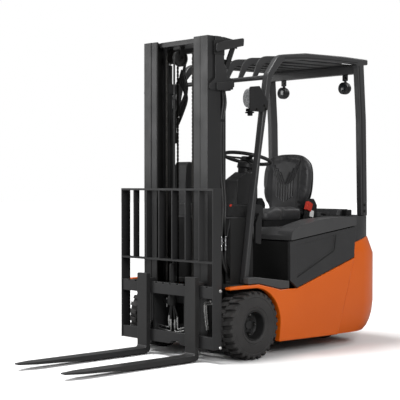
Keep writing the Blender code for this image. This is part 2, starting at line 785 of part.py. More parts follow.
def outer_channel(side):
    """Outer channel with its foot on the axle and the bracket at its top."""
    name = f"outer_channel_{side}"
    rail = channel(name, side, OUTER_OUT, OUTER_IN, OUTER_REAR, OUTER_FLANGE, 0.018, OUTER_FOOT)
    x = side_span(side, OUTER_IN + 0.001, OUTER_OUT)
    foot = box("foot", x, (OUTER_REAR - 0.01, 0.0), (0.165, CYLINDER_FOOT - SEAT_GAP))
    ring = shaft("ring", PIVOT, 0.0690, *side_span(side, OUTER_IN + 0.002, OUTER_OUT - 0.001), "x", 48)
    bracket = [  # y, and how far below the top of the mast
        (-0.185, 0.001),
        (-0.185, 0.280),
        (-0.238, 0.340),
        (-0.238, 0.360),
        (-0.105, 0.360),
        (-0.008, 0.345),
        (-0.008, 0.275),
        (-0.060, 0.265),
        (-0.097, 0.195),
        (-0.097, 0.070),
        (0.030, 0.070),
        (0.030, 0.015),
        (-0.090, 0.001),
    ]
    bracket = [(y, MAST_HEIGHT - depth) for y, depth in bracket]
    plate = prism("bracket", bracket, *side_span(side, OUTER_OUT - 0.002, OUTER_OUT + 0.013), "x")
    grip = (MAST_HEIGHT - 0.343, MAST_HEIGHT - 0.277)
    clamp = box("clamp", side_span(side, 0.232, OUTER_OUT + 0.005), (-0.128, -0.010), grip)
    join(rail, foot, ring, plate, clamp)
    bore = shaft("bore", PIVOT, AXLE_TUBE_R + RUN_GAP, *side_span(side, 0.2, 0.4), "x", 48)
    centre = CYLINDER_X if side == "left" else -CYLINDER_X
    hole = shaft("hole", (centre, CYLINDER_Y), CYLINDER_R + RUN_GAP, grip[0] - 0.1, grip[1] + 0.1, "z", 32)
    return cut(rail, bore, hole)


def outer_top_beam():
    half = OUTER_OUT - 0.002 - SEAT_GAP
    z = (MAST_HEIGHT - 0.065, MAST_HEIGHT - 0.015)
    return box("outer_top_beam", (-half, half), (-0.020, 0.030), z)


def outer_mid_beam():
    """Cross plate behind the inner mast, with the chains' anchors and the tilt cylinders' lugs."""
    half = OUTER_OUT - 0.004
    y = (OUTER_REAR + SEAT_GAP, OUTER_REAR + 0.021)
    beam = box("outer_mid_beam", (-half, half), y, (MID_BEAM_FOOT, MID_BEAM_TOP))
    for side in SIDES:
        x = side_span(side, CHAIN_X - 0.013, CHAIN_X + 0.013)
        join(beam, box("anchor", x, (-0.115, -0.088), (0.430, MID_BEAM_TOP - SEAT_GAP)))
        y, z = TILT_EYE
        for near in (TILT_X - 0.026, TILT_X + 0.018):
            x = side_span(side, near, near + 0.008)
            corners = [(-0.115, z - 0.030, 0), (y + 0.018, z - 0.018, 0.012)]
            corners += [(y + 0.018, z + 0.018, 0.012), (-0.115, z + 0.030, 0)]
            join(beam, prism("lug", rounded(corners), *x, "x"))
        x = side_span(side, TILT_X - 0.024, TILT_X + 0.024)
        join(beam, shaft("pin", TILT_EYE, TILT_PIN_R, *x, "x", 20))
    return beam


def outer_bottom_beam():
    half = OUTER_OUT - 0.004
    y = (OUTER_REAR + SEAT_GAP, OUTER_REAR + 0.026)
    return box("outer_bottom_beam", (-half, half), y, (0.070, 0.130))


def lift_barrel(side):
    centre = (CYLINDER_X if side == "left" else -CYLINDER_X, CYLINDER_Y)
    barrel = shaft(f"lift_barrel_{side}", centre, CYLINDER_R, CYLINDER_FOOT, CYLINDER_TOP, "z", 32)
    bore = (CYLINDER_FOOT + 0.012, CYLINDER_TOP + 0.1)
    return cut(barrel, shaft("bore", centre, ROD_R + RUN_GAP, *bore, "z", 24))


def lift_rod(side):
    centre = (CYLINDER_X if side == "left" else -CYLINDER_X, CYLINDER_Y)
    ends = (CYLINDER_FOOT + 0.018, CROSSHEAD_FOOT - SEAT_GAP)
    return shaft(f"lift_rod_{side}", centre, ROD_R, *ends, "z", 24)


def inner_channel(side):
    name = f"inner_channel_{side}"
    rail = channel(name, side, INNER_OUT, INNER_IN, INNER_REAR, INNER_FLANGE, 0.017, INNER_FOOT)
    middle = (MAST_FRONT + OUTER_REAR) / 2
    radius = (OUTER_REAR - MAST_FRONT) / 2 - OUTER_FLANGE - RUN_GAP
    for z in (0.150, 0.420):
        x = side_span(side, INNER_OUT - 0.010, OUTER_OUT - 0.022)
        join(rail, shaft("roller", (middle, z), radius, *x, "x", 28))
    return rail


def inner_crosshead():
    """Top of the inner mast: it rests on the rods and carries the sheaves."""
    z = (CROSSHEAD_FOOT, CROSSHEAD_TOP)
    half = INNER_IN - SEAT_GAP
    head = box("inner_crosshead", (-half, half), (-0.215, -0.040), z)
    wings = box("wings", (-0.302, 0.302), (OUTER_REAR + CLEAR, -0.040), z)
    join(head, wings)
    for sign in (1, -1):
        x = sorted((sign * (CHAIN_X - 0.009), sign * (CHAIN_X + 0.009)))
        sheave = shaft("sheave", (SHEAVE_Y, SHEAVE_Z), SHEAVE_R - 0.0045, *x, "x", 28)
        x = sorted((sign * (CHAIN_X + 0.008), sign * (CHAIN_X + 0.018)))
        y = (SHEAVE_Y - 0.018, SHEAVE_Y + 0.018)
        cheek = box("cheek", x, y, (SHEAVE_Z - 0.020, CROSSHEAD_FOOT + 0.01))
        join(head, sheave, cheek)
    pulley = shaft("pulley", (SHEAVE_Y, PULLEY_Z), 0.063, -0.066, -0.034, "x", 36)
    y = (SHEAVE_Y - 0.02, SHEAVE_Y + 0.02)
    cheek = box("cheek", (-0.036, -0.026), y, (PULLEY_Z - 0.03, CROSSHEAD_FOOT + 0.01))
    return join(head, pulley, cheek)


def inner_bottom_beam():
    half = INNER_IN - SEAT_GAP
    return box("inner_bottom_beam", (-half, half), (-0.1445, INNER_REAR), (0.085, 0.200))


def lift_chain(side):
    """Chain from the carriage over the sheave to its anchor on the outer mast, as one bent strap."""
    z = SHEAVE_Z
    outer, inner = SHEAVE_R + CHAIN_T / 2, SHEAVE_R - CHAIN_T / 2
    outline = circle((SHEAVE_Y, z), outer, 14, 180, -180) + [(SHEAVE_Y + outer, MID_BEAM_TOP)]
    outline += [(SHEAVE_Y + inner, MID_BEAM_TOP)] + circle((SHEAVE_Y, z), inner, 14, 0, 180)
    outline += [(SHEAVE_Y - inner, 0.3703), (SHEAVE_Y - outer, 0.3703)]
    x = side_span(side, CHAIN_X - CHAIN_W / 2, CHAIN_X + CHAIN_W / 2)
    return prism(f"lift_chain_{side}", outline, *x, "x")


# ================================================================ fork carriage
def fork_carriage():
    y = (BAR_FRONT, BAR_FRONT + BAR_T)
    carriage = box("fork_carriage", (-CARRIAGE_HALF, CARRIAGE_HALF), y, UPPER_BAR)
    pieces = [box("lower", (-CARRIAGE_HALF, CARRIAGE_HALF), y, LOWER_BAR)]
    middle = (MAST_FRONT + INNER_REAR) / 2
    radius = (INNER_REAR - MAST_FRONT) / 2 - INNER_FLANGE - RUN_GAP
    for side in SIDES:
        x = side_span(side, 0.148, 0.172)
        pieces.append(box("plate", x, (y[1] - 0.004, middle + 0.03), (LOWER_BAR[0] + 0.002, 0.470)))
        for z in (0.145, 0.445):
            x = side_span(side, 0.165, INNER_OUT - 0.022)
            pieces.append(shaft("roller", (middle, z), radius, *x, "x", 28))
        x = side_span(side, CHAIN_X - 0.013, 0.152)
        pieces.append(box("anchor", x, (-0.215, -0.188), (0.340, 0.370)))
    return join(carriage, *pieces)


def fork(side):
    """L-shaped fork: a tapered blade and a shank that hooks over the carriage's upper bar."""
    face, rear = FORK_FACE, FORK_FACE + FORK_T
    tip = FORK_FACE - FORK_LENGTH
    hook_front = BAR_FRONT + BAR_T + 0.001
    hook_rear = hook_front + 0.012
    bar_top = UPPER_BAR[1]
    outline = rounded(
        [
            (rear, FORK_FOOT, 0.030),
            (rear, bar_top + SEAT_GAP, 0),
            (hook_front, bar_top + SEAT_GAP, 0),
            (hook_front, bar_top - 0.020, 0),
            (hook_rear, bar_top - 0.020, 0),
            (hook_rear, bar_top + 0.022, 0.006),
            (rear + 0.002, bar_top + 0.022, 0),
            (rear - 0.002, FORK_TOP, 0.003),
            (face, FORK_TOP, 0.003),
            (face, BLADE_TOP, 0.018),
            (tip, BLADE_TOP, 0.003),
            (tip, BLADE_TOP - 0.010, 0.003),
            (face - 0.45 * FORK_LENGTH, FORK_FOOT, 0),
        ],
        4,
    )
    half = FORK_W / 2
    x = FORK_X[side]
    made = prism(f"fork_{side}", outline, x - half, x + half, "x")
    plan = [(x - half, face + 0.2), (x - half, tip + 0.12), (x - half * 0.45, tip)]
    plan += [(x + half * 0.45, tip), (x + half, tip + 0.12), (x + half, face + 0.2)]
    return combine(made, [prism("plan", plan, -0.1, 1.0, "z")], "INTERSECT")


def backrest_plate(side):
    x = side_span(side, CARRIAGE_HALF + SEAT_GAP, CARRIAGE_HALF + 0.010)
    y = (BACKREST_FRONT, BACKREST_FRONT + 0.092)
    return box(f"backrest_{side}_plate", x, y, (LOWER_BAR[0], BACKREST_TOP))


def backrest_grille():
    """Two cross bars with six uprights between them."""
    half = CARRIAGE_HALF
    y = (BACKREST_FRONT, BACKREST_FRONT + 0.050)
    upright_y = (y[0] + 0.001, y[1] - 0.001)
    grille = box("backrest_grille", (-half, half), y, (BACKREST_TOP - 0.014, BACKREST_TOP))
    join(grille, box("mid", (-half, half), y, (BACKREST_MID - 0.006, BACKREST_MID + 0.006)))
    pitch = 2 * (half + 0.005) / 7
    for i in range(6):
        x = -half - 0.005 + pitch * (i + 1)
        join(grille, box("bar", (x - 0.005, x + 0.005), upright_y, (BACKREST_MID, BACKREST_TOP - 0.005)))
    return grille


# ================================================================ tilt cylinders
def tilt_barrel(side):
    x = TILT_X if side == "left" else -TILT_X
    z = TILT_ANCHOR[1]
    barrel = shaft(f"tilt_barrel_{side}", (x, z), TILT_BARREL_R, 0.020, 0.262, "y", 28)
    eye = shaft("eye", TILT_ANCHOR, 0.020, x - 0.0175, x + 0.0175, "x", 28)
    neck = box("neck", (x - 0.0175, x + 0.0175), (0.25, TILT_ANCHOR[0]), (z - 0.012, z + 0.012))
    join(barrel, neck, eye)
    bore = shaft("bore", (x, z), TILT_ROD_R + RUN_GAP, 0.0, 0.240, "y", 24)
    hole = shaft("hole", TILT_ANCHOR, TILT_PIN_R + RUN_GAP, x - 0.03, x + 0.03, "x", 24)
    return cut(barrel, bore, hole)


def tilt_rod(side):
    x = TILT_X if side == "left" else -TILT_X
    y, z = TILT_EYE
    rod = shaft(f"tilt_rod_{side}", (x, z), TILT_ROD_R, y + 0.018, 0.205, "y", 24)
    eye = shaft("eye", TILT_EYE, 0.023, x - 0.0165, x + 0.0165, "x", 28)
    join(rod, eye)
    return cut(rod, shaft("hole", TILT_EYE, TILT_PIN_R + TILT_EYE_GAP, x - 0.03, x + 0.03, "x", 24))


# ================================================================ the truck
def build():
    clear_scene()
    orange = paint("orange_paint", (0.62, 0.16, 0.02), 0.35, 0.0)
    black = paint("black_paint", (0.035, 0.035, 0.037), 0.42, 0.3)
    plastic = paint("dark_plastic", (0.045, 0.045, 0.047), 0.55, 0.0)
    rubber = paint("tyre_rubber", (0.03, 0.03, 0.03), 0.75, 0.0)
    vinyl = paint("seat_vinyl", (0.025, 0.025, 0.026), 0.5, 0.0)
    chrome = paint("chrome_rod", (0.75, 0.75, 0.76), 0.15, 1.0)
    steel = paint("dark_steel", (0.06, 0.06, 0.062), 0.45, 0.8)

    truck = carrier("truck", (0, 0, 0))
    truck.location = (0, AXLE_Y, 0)
    at_axle = (0, *PIVOT)
    left_hub = carrier("front_left_hub", at_axle, truck)
    right_hub = carrier("front_right_hub", at_axle, truck)
    steer = carrier("steer_pivot", (0, WHEELBASE, 0), truck)
    rear_hub = carrier("rear_hub", (0, WHEELBASE, REAR_TYRE_R), steer)
    mast = carrier("mast_pivot", at_axle, truck)
    inner = carrier("inner_mast_slide", at_axle, mast)
    carriage = carrier("carriage_slide", at_axle, inner)
    lid = carrier("hood_hinge", (0, HINGE_Y, HINGE_Z), truck)
    hand = carrier("steering_axis", WHEEL_AT, truck)

    for side, sign, hub in (("left", 1, left_hub), ("right", -1, right_hub)):
        made_tyre, made_rim = front_wheel(side, sign)
        fit(hub, rubber, made_tyre)
        fit(hub, black, made_rim)
    tyres, rims = rear_wheels()
    fit(rear_hub, rubber, *tyres)
    fit(rear_hub, black, *rims)
    fit(steer, steel, steer_unit())

    fit(truck, steel, drive_axle(), chassis_frame(), floor_plate())
    fit(truck, orange, counterweight())
    fit(truck, plastic, rear_cover(), battery(), front_cowl(), dash_console())
    fit(truck, black, roof_grille())
    fit(hand, plastic, steering_wheel())
    fit(lid, plastic, hood(), seat_base())
    fit(lid, vinyl, seat_cushion(), seat_back())
    fit(mast, black, outer_top_beam(), outer_mid_beam(), outer_bottom_beam())
    fit(inner, black, inner_crosshead(), inner_bottom_beam())
    fit(carriage, black, fork_carriage(), backrest_grille())

    for side in SIDES:
        fit(truck, orange, side_panel(side))
        fit(truck, plastic, battery_panel(side), side_sill(side))
        fit(truck, black, guard_frame(side), work_light(side), rear_lamp(side))
        fit(mast, black, outer_channel(side), lift_barrel(side))
        fit(inner, black, inner_channel(side))
        fit(inner, chrome, lift_rod(side))
        fit(inner, steel, lift_chain(side))
        fit(carriage, black, fork(side), backrest_plate(side))
        x = TILT_X if side == "left" else -TILT_X
        anchor = carrier(f"tilt_anchor_{side}", (x, *TILT_ANCHOR), truck)
        slide = carrier(f"tilt_slide_{side}", (x, *TILT_EYE), anchor)
        fit(anchor, black, tilt_barrel(side))
        fit(slide, chrome, tilt_rod(side))


build()
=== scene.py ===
"""Looks of a three-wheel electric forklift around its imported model.

Shapes are drawn in the axle frame: x to the driver's left, y rearward, and the origin on the ground under
the middle of the front axle. place() moves each finished piece into the model's own frame.
"""

import json
import math

import bmesh
import bpy
from mathutils import Matrix, Vector

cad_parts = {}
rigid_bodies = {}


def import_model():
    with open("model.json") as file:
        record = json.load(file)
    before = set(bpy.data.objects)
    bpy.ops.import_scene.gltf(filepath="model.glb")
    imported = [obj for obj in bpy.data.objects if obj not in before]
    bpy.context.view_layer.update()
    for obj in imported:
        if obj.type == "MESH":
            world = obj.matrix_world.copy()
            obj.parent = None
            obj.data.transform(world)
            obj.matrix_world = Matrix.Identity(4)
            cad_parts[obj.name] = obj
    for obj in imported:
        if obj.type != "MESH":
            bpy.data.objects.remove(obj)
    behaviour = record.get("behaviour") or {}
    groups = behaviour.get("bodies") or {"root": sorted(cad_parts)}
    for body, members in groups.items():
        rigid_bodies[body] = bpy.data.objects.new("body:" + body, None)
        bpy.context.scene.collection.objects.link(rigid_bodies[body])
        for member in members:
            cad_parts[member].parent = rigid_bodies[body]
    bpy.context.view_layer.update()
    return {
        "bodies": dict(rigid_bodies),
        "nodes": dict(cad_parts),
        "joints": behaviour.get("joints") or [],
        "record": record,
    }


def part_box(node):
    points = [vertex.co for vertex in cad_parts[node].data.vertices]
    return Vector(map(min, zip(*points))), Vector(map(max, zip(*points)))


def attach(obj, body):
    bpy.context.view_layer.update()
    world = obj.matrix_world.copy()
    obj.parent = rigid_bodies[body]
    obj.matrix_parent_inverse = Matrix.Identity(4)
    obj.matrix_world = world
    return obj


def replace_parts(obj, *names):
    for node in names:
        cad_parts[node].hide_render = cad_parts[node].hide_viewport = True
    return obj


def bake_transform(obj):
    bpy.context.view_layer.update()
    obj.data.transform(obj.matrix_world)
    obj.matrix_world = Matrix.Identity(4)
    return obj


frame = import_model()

SIDES = {"left": 1, "right": -1}
tyre_low, tyre_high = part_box("front_left_tyre")
AXLE_Y = (tyre_low.y + tyre_high.y) / 2
AXLE_Z = (tyre_low.z + tyre_high.z) / 2
TYRE_R = tyre_high.z - AXLE_Z
rear_low, rear_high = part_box("rear_left_tyre")
REAR_AXLE = Vector((0, (rear_low.y + rear_high.y) / 2 - AXLE_Y, (rear_low.z + rear_high.z) / 2))


# ================================================================ finishes
class Finish:
    """A node material. The shader's own sockets hold what is the same all over."""

    def __init__(self, name, colour, roughness, metallic=0.0, **shader):
        self.material = bpy.data.materials.new(name)
        self.material.use_nodes = True
        self.nodes = self.material.node_tree.nodes
        self.links = self.material.node_tree.links
        self.shader = self.nodes["Principled BSDF"]
        self.shader.inputs["Base Color"].default_value = (*colour, 1)
        self.shader.inputs["Roughness"].default_value = roughness
        self.shader.inputs["Metallic"].default_value = metallic
        for socket, value in shader.items():
            self.shader.inputs[socket.replace("_", " ")].default_value = value
        self.colour, self.roughness = colour, roughness
        self.place = self.nodes.new("ShaderNodeTexCoord").outputs["Object"]
        self.height = None

    def noise(self, scale, detail=3.0, stretch=(1, 1, 1)):
        mapping = self.nodes.new("ShaderNodeMapping")
        mapping.inputs["Scale"].default_value = stretch
        self.links.new(self.place, mapping.inputs["Vector"])
        noise = self.nodes.new("ShaderNodeTexNoise")
        noise.inputs["Scale"].default_value = scale
        noise.inputs["Detail"].default_value = detail
        self.links.new(mapping.outputs["Vector"], noise.inputs["Vector"])
        return noise.outputs["Fac"]

    def cells(self, scale, feature="F1"):
        cells = self.nodes.new("ShaderNodeTexVoronoi")
        cells.feature = feature
        cells.inputs["Scale"].default_value = scale
        self.links.new(self.place, cells.inputs["Vector"])
        return cells.outputs["Distance"]

    def ranged(self, value, low, high):
        """The value, from about 0.3 to 0.7, spread from low to high."""
        spread = self.nodes.new("ShaderNodeMapRange")
        for socket, number in zip(("From Min", "From Max", "To Min", "To Max"), (0.3, 0.7, low, high)):
            spread.inputs[socket].default_value = number
        self.links.new(value, spread.inputs["Value"])
        return spread.outputs["Result"]

    def tint(self, value, other):
        """Colour drifts to the other colour where the value is high."""
        mix = self.nodes.new("ShaderNodeMix")
        mix.data_type = "RGBA"
        mix.inputs["A"].default_value = (*self.colour, 1)
        mix.inputs["B"].default_value = (*other, 1)
        self.links.new(self.ranged(value, 0.0, 1.0), mix.inputs["Factor"])
        self.links.new(mix.outputs["Result"], self.shader.inputs["Base Color"])
        return self

    def gloss(self, value, drift):
        rough = self.ranged(value, self.roughness - drift, self.roughness + drift)
        self.links.new(rough, self.shader.inputs["Roughness"])
        return self

    def bump(self, value, depth):
        """A bump of that depth in metres. Called again, it adds to the one before."""
        bump = self.nodes.new("ShaderNodeBump")
        bump.inputs["Distance"].default_value = depth
        self.links.new(value, bump.inputs["Height"])
        if self.height is not None:
            self.links.new(self.height, bump.inputs["Normal"])
        self.height = bump.outputs["Normal"]
        self.links.new(self.height, self.shader.inputs["Normal"])
        return self


def enamel(name, colour, dusty, roughness, coat):
    """Sprayed paint: slow drift of colour, orange peel and faint dust."""
    paint = Finish(name, colour, roughness, Coat_Weight=coat, Coat_Roughness=0.12, Specular_IOR_Level=0.35)
    paint.tint(paint.noise(2.3, 4.0), dusty)
    paint.gloss(paint.noise(9.0, 5.0), 0.06)
    paint.bump(paint.noise(420.0, 2.0), 0.00012)
    return paint.material


def moulded(name, colour, other, roughness):
    """Grained plastic."""
    plastic = Finish(name, colour, roughness, Specular_IOR_Level=0.35)
    plastic.tint(plastic.noise(5.0, 5.0), other)
    plastic.gloss(plastic.noise(14.0, 4.0), 0.07)
    plastic.bump(plastic.cells(650.0), 0.00025)
    return plastic.material


def bare_metal(name, colour, roughness, drift, stretch):
    metal = Finish(name, colour, roughness, 1.0)
    metal.gloss(metal.noise(60.0, 3.0, stretch), drift)
    metal.tint(metal.noise(11.0, 4.0), tuple(0.8 * c for c in colour))
    metal.bump(metal.noise(240.0, 2.0, stretch), 0.00005)
    return metal.material


def rubber_compound(name, colour, other, roughness, depth):
    rubber = Finish(name, colour, roughness, Specular_IOR_Level=0.3)
    rubber.tint(rubber.noise(7.0, 6.0), other)
    rubber.gloss(rubber.noise(21.0, 4.0), 0.08)
    rubber.bump(rubber.noise(260.0, 3.0), depth)
    return rubber.material


def vinyl_hide():
    vinyl = Finish("seat_vinyl_hide", (0.022, 0.022, 0.023), 0.46, Sheen_Weight=0.08)
    vinyl.tint(vinyl.noise(6.0, 5.0), (0.034, 0.034, 0.036))
    vinyl.gloss(vinyl.noise(18.0, 4.0), 0.07)
    vinyl.bump(vinyl.cells(520.0, "DISTANCE_TO_EDGE"), 0.0004)
    vinyl.bump(vinyl.noise(40.0, 4.0), 0.0006)
    return vinyl.material


def plain_lens():
    lens = Finish("lamp_lens_glass", (0.80, 0.81, 0.82), 0.16, Transmission_Weight=0.12, IOR=1.45)
    lens.tint(lens.cells(110.0), (0.42, 0.43, 0.44))
    lens.bump(lens.cells(90.0), 0.0012)
    return lens.material


ORANGE = enamel("orange_enamel", (0.77, 0.130, 0.0020), (0.72, 0.116, 0.0018), 0.34, 0.15)
CHARCOAL = enamel("charcoal_enamel", (0.027, 0.027, 0.0275), (0.022, 0.022, 0.0225), 0.40, 0.08)
FORGED = enamel("forged_black", (0.022, 0.022, 0.0225), (0.028, 0.0275, 0.027), 0.38, 0.08)
CHASSIS = enamel("chassis_black", (0.008, 0.008, 0.008), (0.012, 0.012, 0.012), 0.55, 0.0)
RIM = enamel("rim_enamel", (0.020, 0.020, 0.0205), (0.015, 0.015, 0.015), 0.38, 0.08)
GUARD = enamel("guard_enamel", (0.044, 0.044, 0.045), (0.037, 0.037, 0.038), 0.40, 0.08)
# Near-black paint that stands for shade: the channels' sideways faces and the line between the channels.
RAIL_SHADE = enamel("rail_painted_shade", (0.005, 0.005, 0.005), (0.008, 0.008, 0.0075), 0.38, 0.0)
LID = moulded("lid_plastic", (0.066, 0.066, 0.067), (0.056, 0.056, 0.057), 0.44)
PLASTIC = moulded("grained_plastic", (0.036, 0.036, 0.037), (0.030, 0.030, 0.031), 0.46)
DARK = moulded("black_plastic_fine", (0.010, 0.010, 0.0105), (0.014, 0.014, 0.0145), 0.42)
# Pale grey plastic of the raised deck, also used for strips of painted highlight on the cowl's edges.
PALE_DECK_AND_HIGHLIGHT = moulded("pale_deck_and_painted_highlight", (0.085, 0.085, 0.088), (0.070, 0.070, 0.072), 0.50)
MAT = rubber_compound("floor_mat_rubber", (0.022, 0.022, 0.022), (0.032, 0.031, 0.030), 0.72, 0.0004)
TYRE = rubber_compound("tyre_compound", (0.034, 0.033, 0.033), (0.048, 0.046, 0.045), 0.72, 0.0005)
HOSE = rubber_compound("hose_rubber", (0.022, 0.022, 0.022), (0.032, 0.032, 0.032), 0.36, 0.0001)
CASE = enamel("battery_tray_paint", (0.060, 0.064, 0.068), (0.045, 0.048, 0.050), 0.50, 0.0)
VINYL = vinyl_hide()
CHROME = bare_metal("hard_chrome", (0.82, 0.82, 0.83), 0.13, 0.05, (1, 1, 12))
ZINC = bare_metal("zinc_plate", (0.74, 0.74, 0.73), 0.30, 0.08, (1, 1, 1))
LINKS = bare_metal("oiled_link_steel", (0.055, 0.053, 0.050), 0.42, 0.10, (1, 1, 1))
REFLECTOR = bare_metal("lamp_reflector", (0.90, 0.90, 0.91), 0.12, 0.04, (1, 1, 1))
LENS = plain_lens()
RED = moulded("red_buckle_plastic", (0.55, 0.035, 0.018), (0.48, 0.030, 0.015), 0.38)
WHITE = moulded("blank_white_label", (0.80, 0.80, 0.79), (0.72, 0.72, 0.71), 0.45)
SCREEN = Finish("display_glass", (0.010, 0.012, 0.014), 0.12, Coat_Weight=0.5)
SCREEN.gloss(SCREEN.noise(30.0), 0.05)
SCREEN = SCREEN.material


# ================================================================ making shapes
def circle(at, radius, sides=32, start=0.0, turn=360.0):
    """Points round a circle. A full turn leaves out the last point, which is the first again."""
    count = sides if turn == 360.0 else sides + 1
    angles = [math.radians(start + turn * i / sides) for i in range(count)]
    return [(at[0] + radius * math.cos(a), at[1] + radius * math.sin(a)) for a in angles]


def mirrored(obj):
    """The object turned over to the truck's other side, with its faces still pointing outwards."""
    obj.data.transform(Matrix.Diagonal((-1, 1, 1, 1)))
    obj.data.flip_normals()
    return obj


def rounded(corners, sides=5):
    """An outline from (a, b, radius) corners, each rounded by an arc that touches both its sides."""
    out = []
    for i, (a, b, radius) in enumerate(corners):
        here = Vector((a, b))
        if radius == 0:
            out.append((a, b))
            continue
        back = (Vector(corners[i - 1][:2]) - here).normalized()
        ahead = (Vector(corners[(i + 1) % len(corners)][:2]) - here).normalized()
        half = back.angle(ahead) / 2
        centre = here + (back + ahead).normalized() * radius / math.sin(half)
        first = here + back * radius / math.tan(half) - centre
        last = here + ahead * radius / math.tan(half) - centre
        sweep = first.angle_signed(last)
        out += [tuple(centre + Matrix.Rotation(-sweep * k / sides, 2) @ first) for k in range(sides + 1)]
    return out


def shape(name, fill):
    """An object whose mesh is filled in by fill(bm), with its faces pointing outwards."""
    bm = bmesh.new()
    fill(bm)
    bmesh.ops.remove_doubles(bm, verts=bm.verts, dist=1e-6)
    bmesh.ops.recalc_face_normals(bm, faces=bm.faces)
    mesh = bpy.data.meshes.new(name)
    bm.to_mesh(mesh)
    bm.free()
    obj = bpy.data.objects.new(name, mesh)
    bpy.context.scene.collection.objects.link(obj)
    return obj


def prism(name, outline, low, high, axis, edge=0.0, segments=2):
    """The outline, pairs on the plane across axis, run from low to high, with rounded edges."""

    def point(pair, along):
        pair = list(pair)
        pair.insert("xyz".index(axis), along)
        return pair

    def fill(bm):
        face = bm.faces.new([bm.verts.new(point(pair, low)) for pair in outline])
        moved = bmesh.ops.extrude_face_region(bm, geom=[face])["geom"]
        verts = [v for v in moved if isinstance(v, bmesh.types.BMVert)]
        bmesh.ops.translate(bm, verts=verts, vec=Vector(point((0, 0), high - low)))

    return softened(shape(name, fill), edge, segments)


def box(name, x, y, z, edge=0.0, segments=2):
    return prism(name, [(x[0], y[0]), (x[1], y[0]), (x[1], y[1]), (x[0], y[1])], *z, "z", edge, segments)


def shaft(name, at, radius, low, high, axis, edge=0.0, sides=24):
    return prism(name, circle(at, radius, sides), low, high, axis, edge)


def turned(name, profile, centre, axis="x", sides=48):
    """A closed (radius, along) profile turned about an axis through centre."""

    def fill(bm):
        ring = [bm.verts.new((along, r, 0)) for r, along in profile]
        edges = [bm.edges.new((ring[i - 1], ring[i])) for i in range(len(ring))]
        bmesh.ops.spin(
            bm, geom=ring + edges, cent=(0, 0, 0), axis=(1, 0, 0), angle=math.tau, steps=sides, use_merge=True
        )

    obj = shape(name, fill)
    toward = {"x": (1, 0, 0), "y": (0, 1, 0), "z": (0, 0, 1)}.get(axis, axis)
    turn = Vector((1, 0, 0)).rotation_difference(Vector(toward)).to_matrix().to_4x4()
    obj.data.transform(Matrix.Translation(centre) @ turn)
    return obj


def baked(obj):
    """The object with its modifiers applied."""
    if not obj.modifiers:
        return obj
    graph = bpy.context.evaluated_depsgraph_get()
    mesh = bpy.data.meshes.new_from_object(obj.evaluated_get(graph))
    obj.modifiers.clear()
    obj.data = mesh
    return obj


def softened(obj, edge, segments=2, angle=35):
    if edge:
        bevel = obj.modifiers.new("edges", "BEVEL")
        bevel.width = edge
        bevel.segments = segments
        bevel.limit_method = "ANGLE"
        bevel.angle_limit = math.radians(angle)
        bevel.harden_normals = False
        baked(obj)
    return obj


def smoothed(obj, angle=35):
    """Smooth shading in which the large flat faces stay flat."""
    obj.data.shade_smooth()
    obj.data.set_sharp_from_angle(angle=math.radians(angle))
    even = obj.modifiers.new("even", "WEIGHTED_NORMAL")
    even.keep_sharp = True
    even.weight = 100
    return baked(obj)


def painted(obj, material):
    obj.data.materials.clear()
    obj.data.materials.append(material)
    return obj


def joined(name, *objs):
    """One object from several, each with its own material."""
    if not objs[0].name.startswith(name) and name in bpy.data.objects:
        bpy.data.objects[name].name = "part_of_" + name
    bm = bmesh.new()
    materials = []
    for obj in objs:
        start = len(bm.faces)
        bm.from_mesh(obj.data)
        bm.faces.ensure_lookup_table()
        own = list(obj.data.materials)
        for face in bm.faces[start:]:
            material = own[min(face.material_index, len(own) - 1)] if own else None
            if material not in materials:
                materials.append(material)
            face.material_index = materials.index(material)
        bpy.data.objects.remove(obj)
    mesh = bpy.data.meshes.new(name)
    bm.to_mesh(mesh)
    bm.free()
    for material in materials:
        mesh.materials.append(material)
    made = bpy.data.objects.new(name, mesh)
    bpy.context.scene.collection.objects.link(made)
    return made


def moved(obj, shift=(0, 0, 0), turn=None):
    obj.data.transform(Matrix.Translation(shift) @ (turn or Matrix.Identity(4)))
    return obj


def mirror_of(obj, name):
    """The object's copy on the other side of the truck, facing outwards."""
    other = bpy.data.objects.new(name, obj.data.copy())
    bpy.context.scene.collection.objects.link(other)
    mirrored(other)
    return other


def place(obj, body, material=None, angle=35):
    """Moves a piece from the axle frame to the model's, and hangs it on its body."""
    baked(obj)
    if material is not None:
        painted(obj, material)
    obj.data.transform(Matrix.Translation((0, AXLE_Y, 0)))
    smoothed(obj, angle)
    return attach(obj, body)


BODY_OF = {n: b for b, members in frame["record"]["behaviour"]["bodies"].items() for n in members}


def bent(obj):
    """Moves a piece that runs between two bodies from the axle frame to the model's, and leaves it on no body."""
    baked(obj)
    shift = Vector((0, AXLE_Y, 0))
    obj.data.transform(Matrix.Translation(shift))
    smoothed(obj)
    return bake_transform(obj)


def stand_in(obj, *nodes):
    """The piece replaces the nodes and rides where the first of them does."""
    place(obj, BODY_OF[nodes[0]])
    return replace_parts(obj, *nodes)


def merged_copy(node):
    """A node's shape as whole flat faces, in the axle frame."""
    bm = bmesh.new()
    bm.from_mesh(frame["nodes"][node].data)
    bmesh.ops.remove_doubles(bm, verts=bm.verts, dist=2e-5)
    bmesh.ops.dissolve_limit(bm, angle_limit=math.radians(0.6), verts=bm.verts, edges=bm.edges)
    mesh = bpy.data.meshes.new(node + "_finished")
    bm.to_mesh(mesh)
    bm.free()
    obj = bpy.data.objects.new(node + "_finished", mesh)
    bpy.context.scene.collection.objects.link(obj)
    obj.data.transform(Matrix.Translation((0, -AXLE_Y, 0)))
    return obj


def finished(node, edge, material, segments=2, extras=(), angle=35):
    """A node's own shape with rounded edges, and the extra pieces that belong to it."""
    obj = painted(softened(merged_copy(node), edge, segments, angle), material)
    if extras:
        obj = joined(node + "_finished", obj, *extras)
    return stand_in(obj, node)


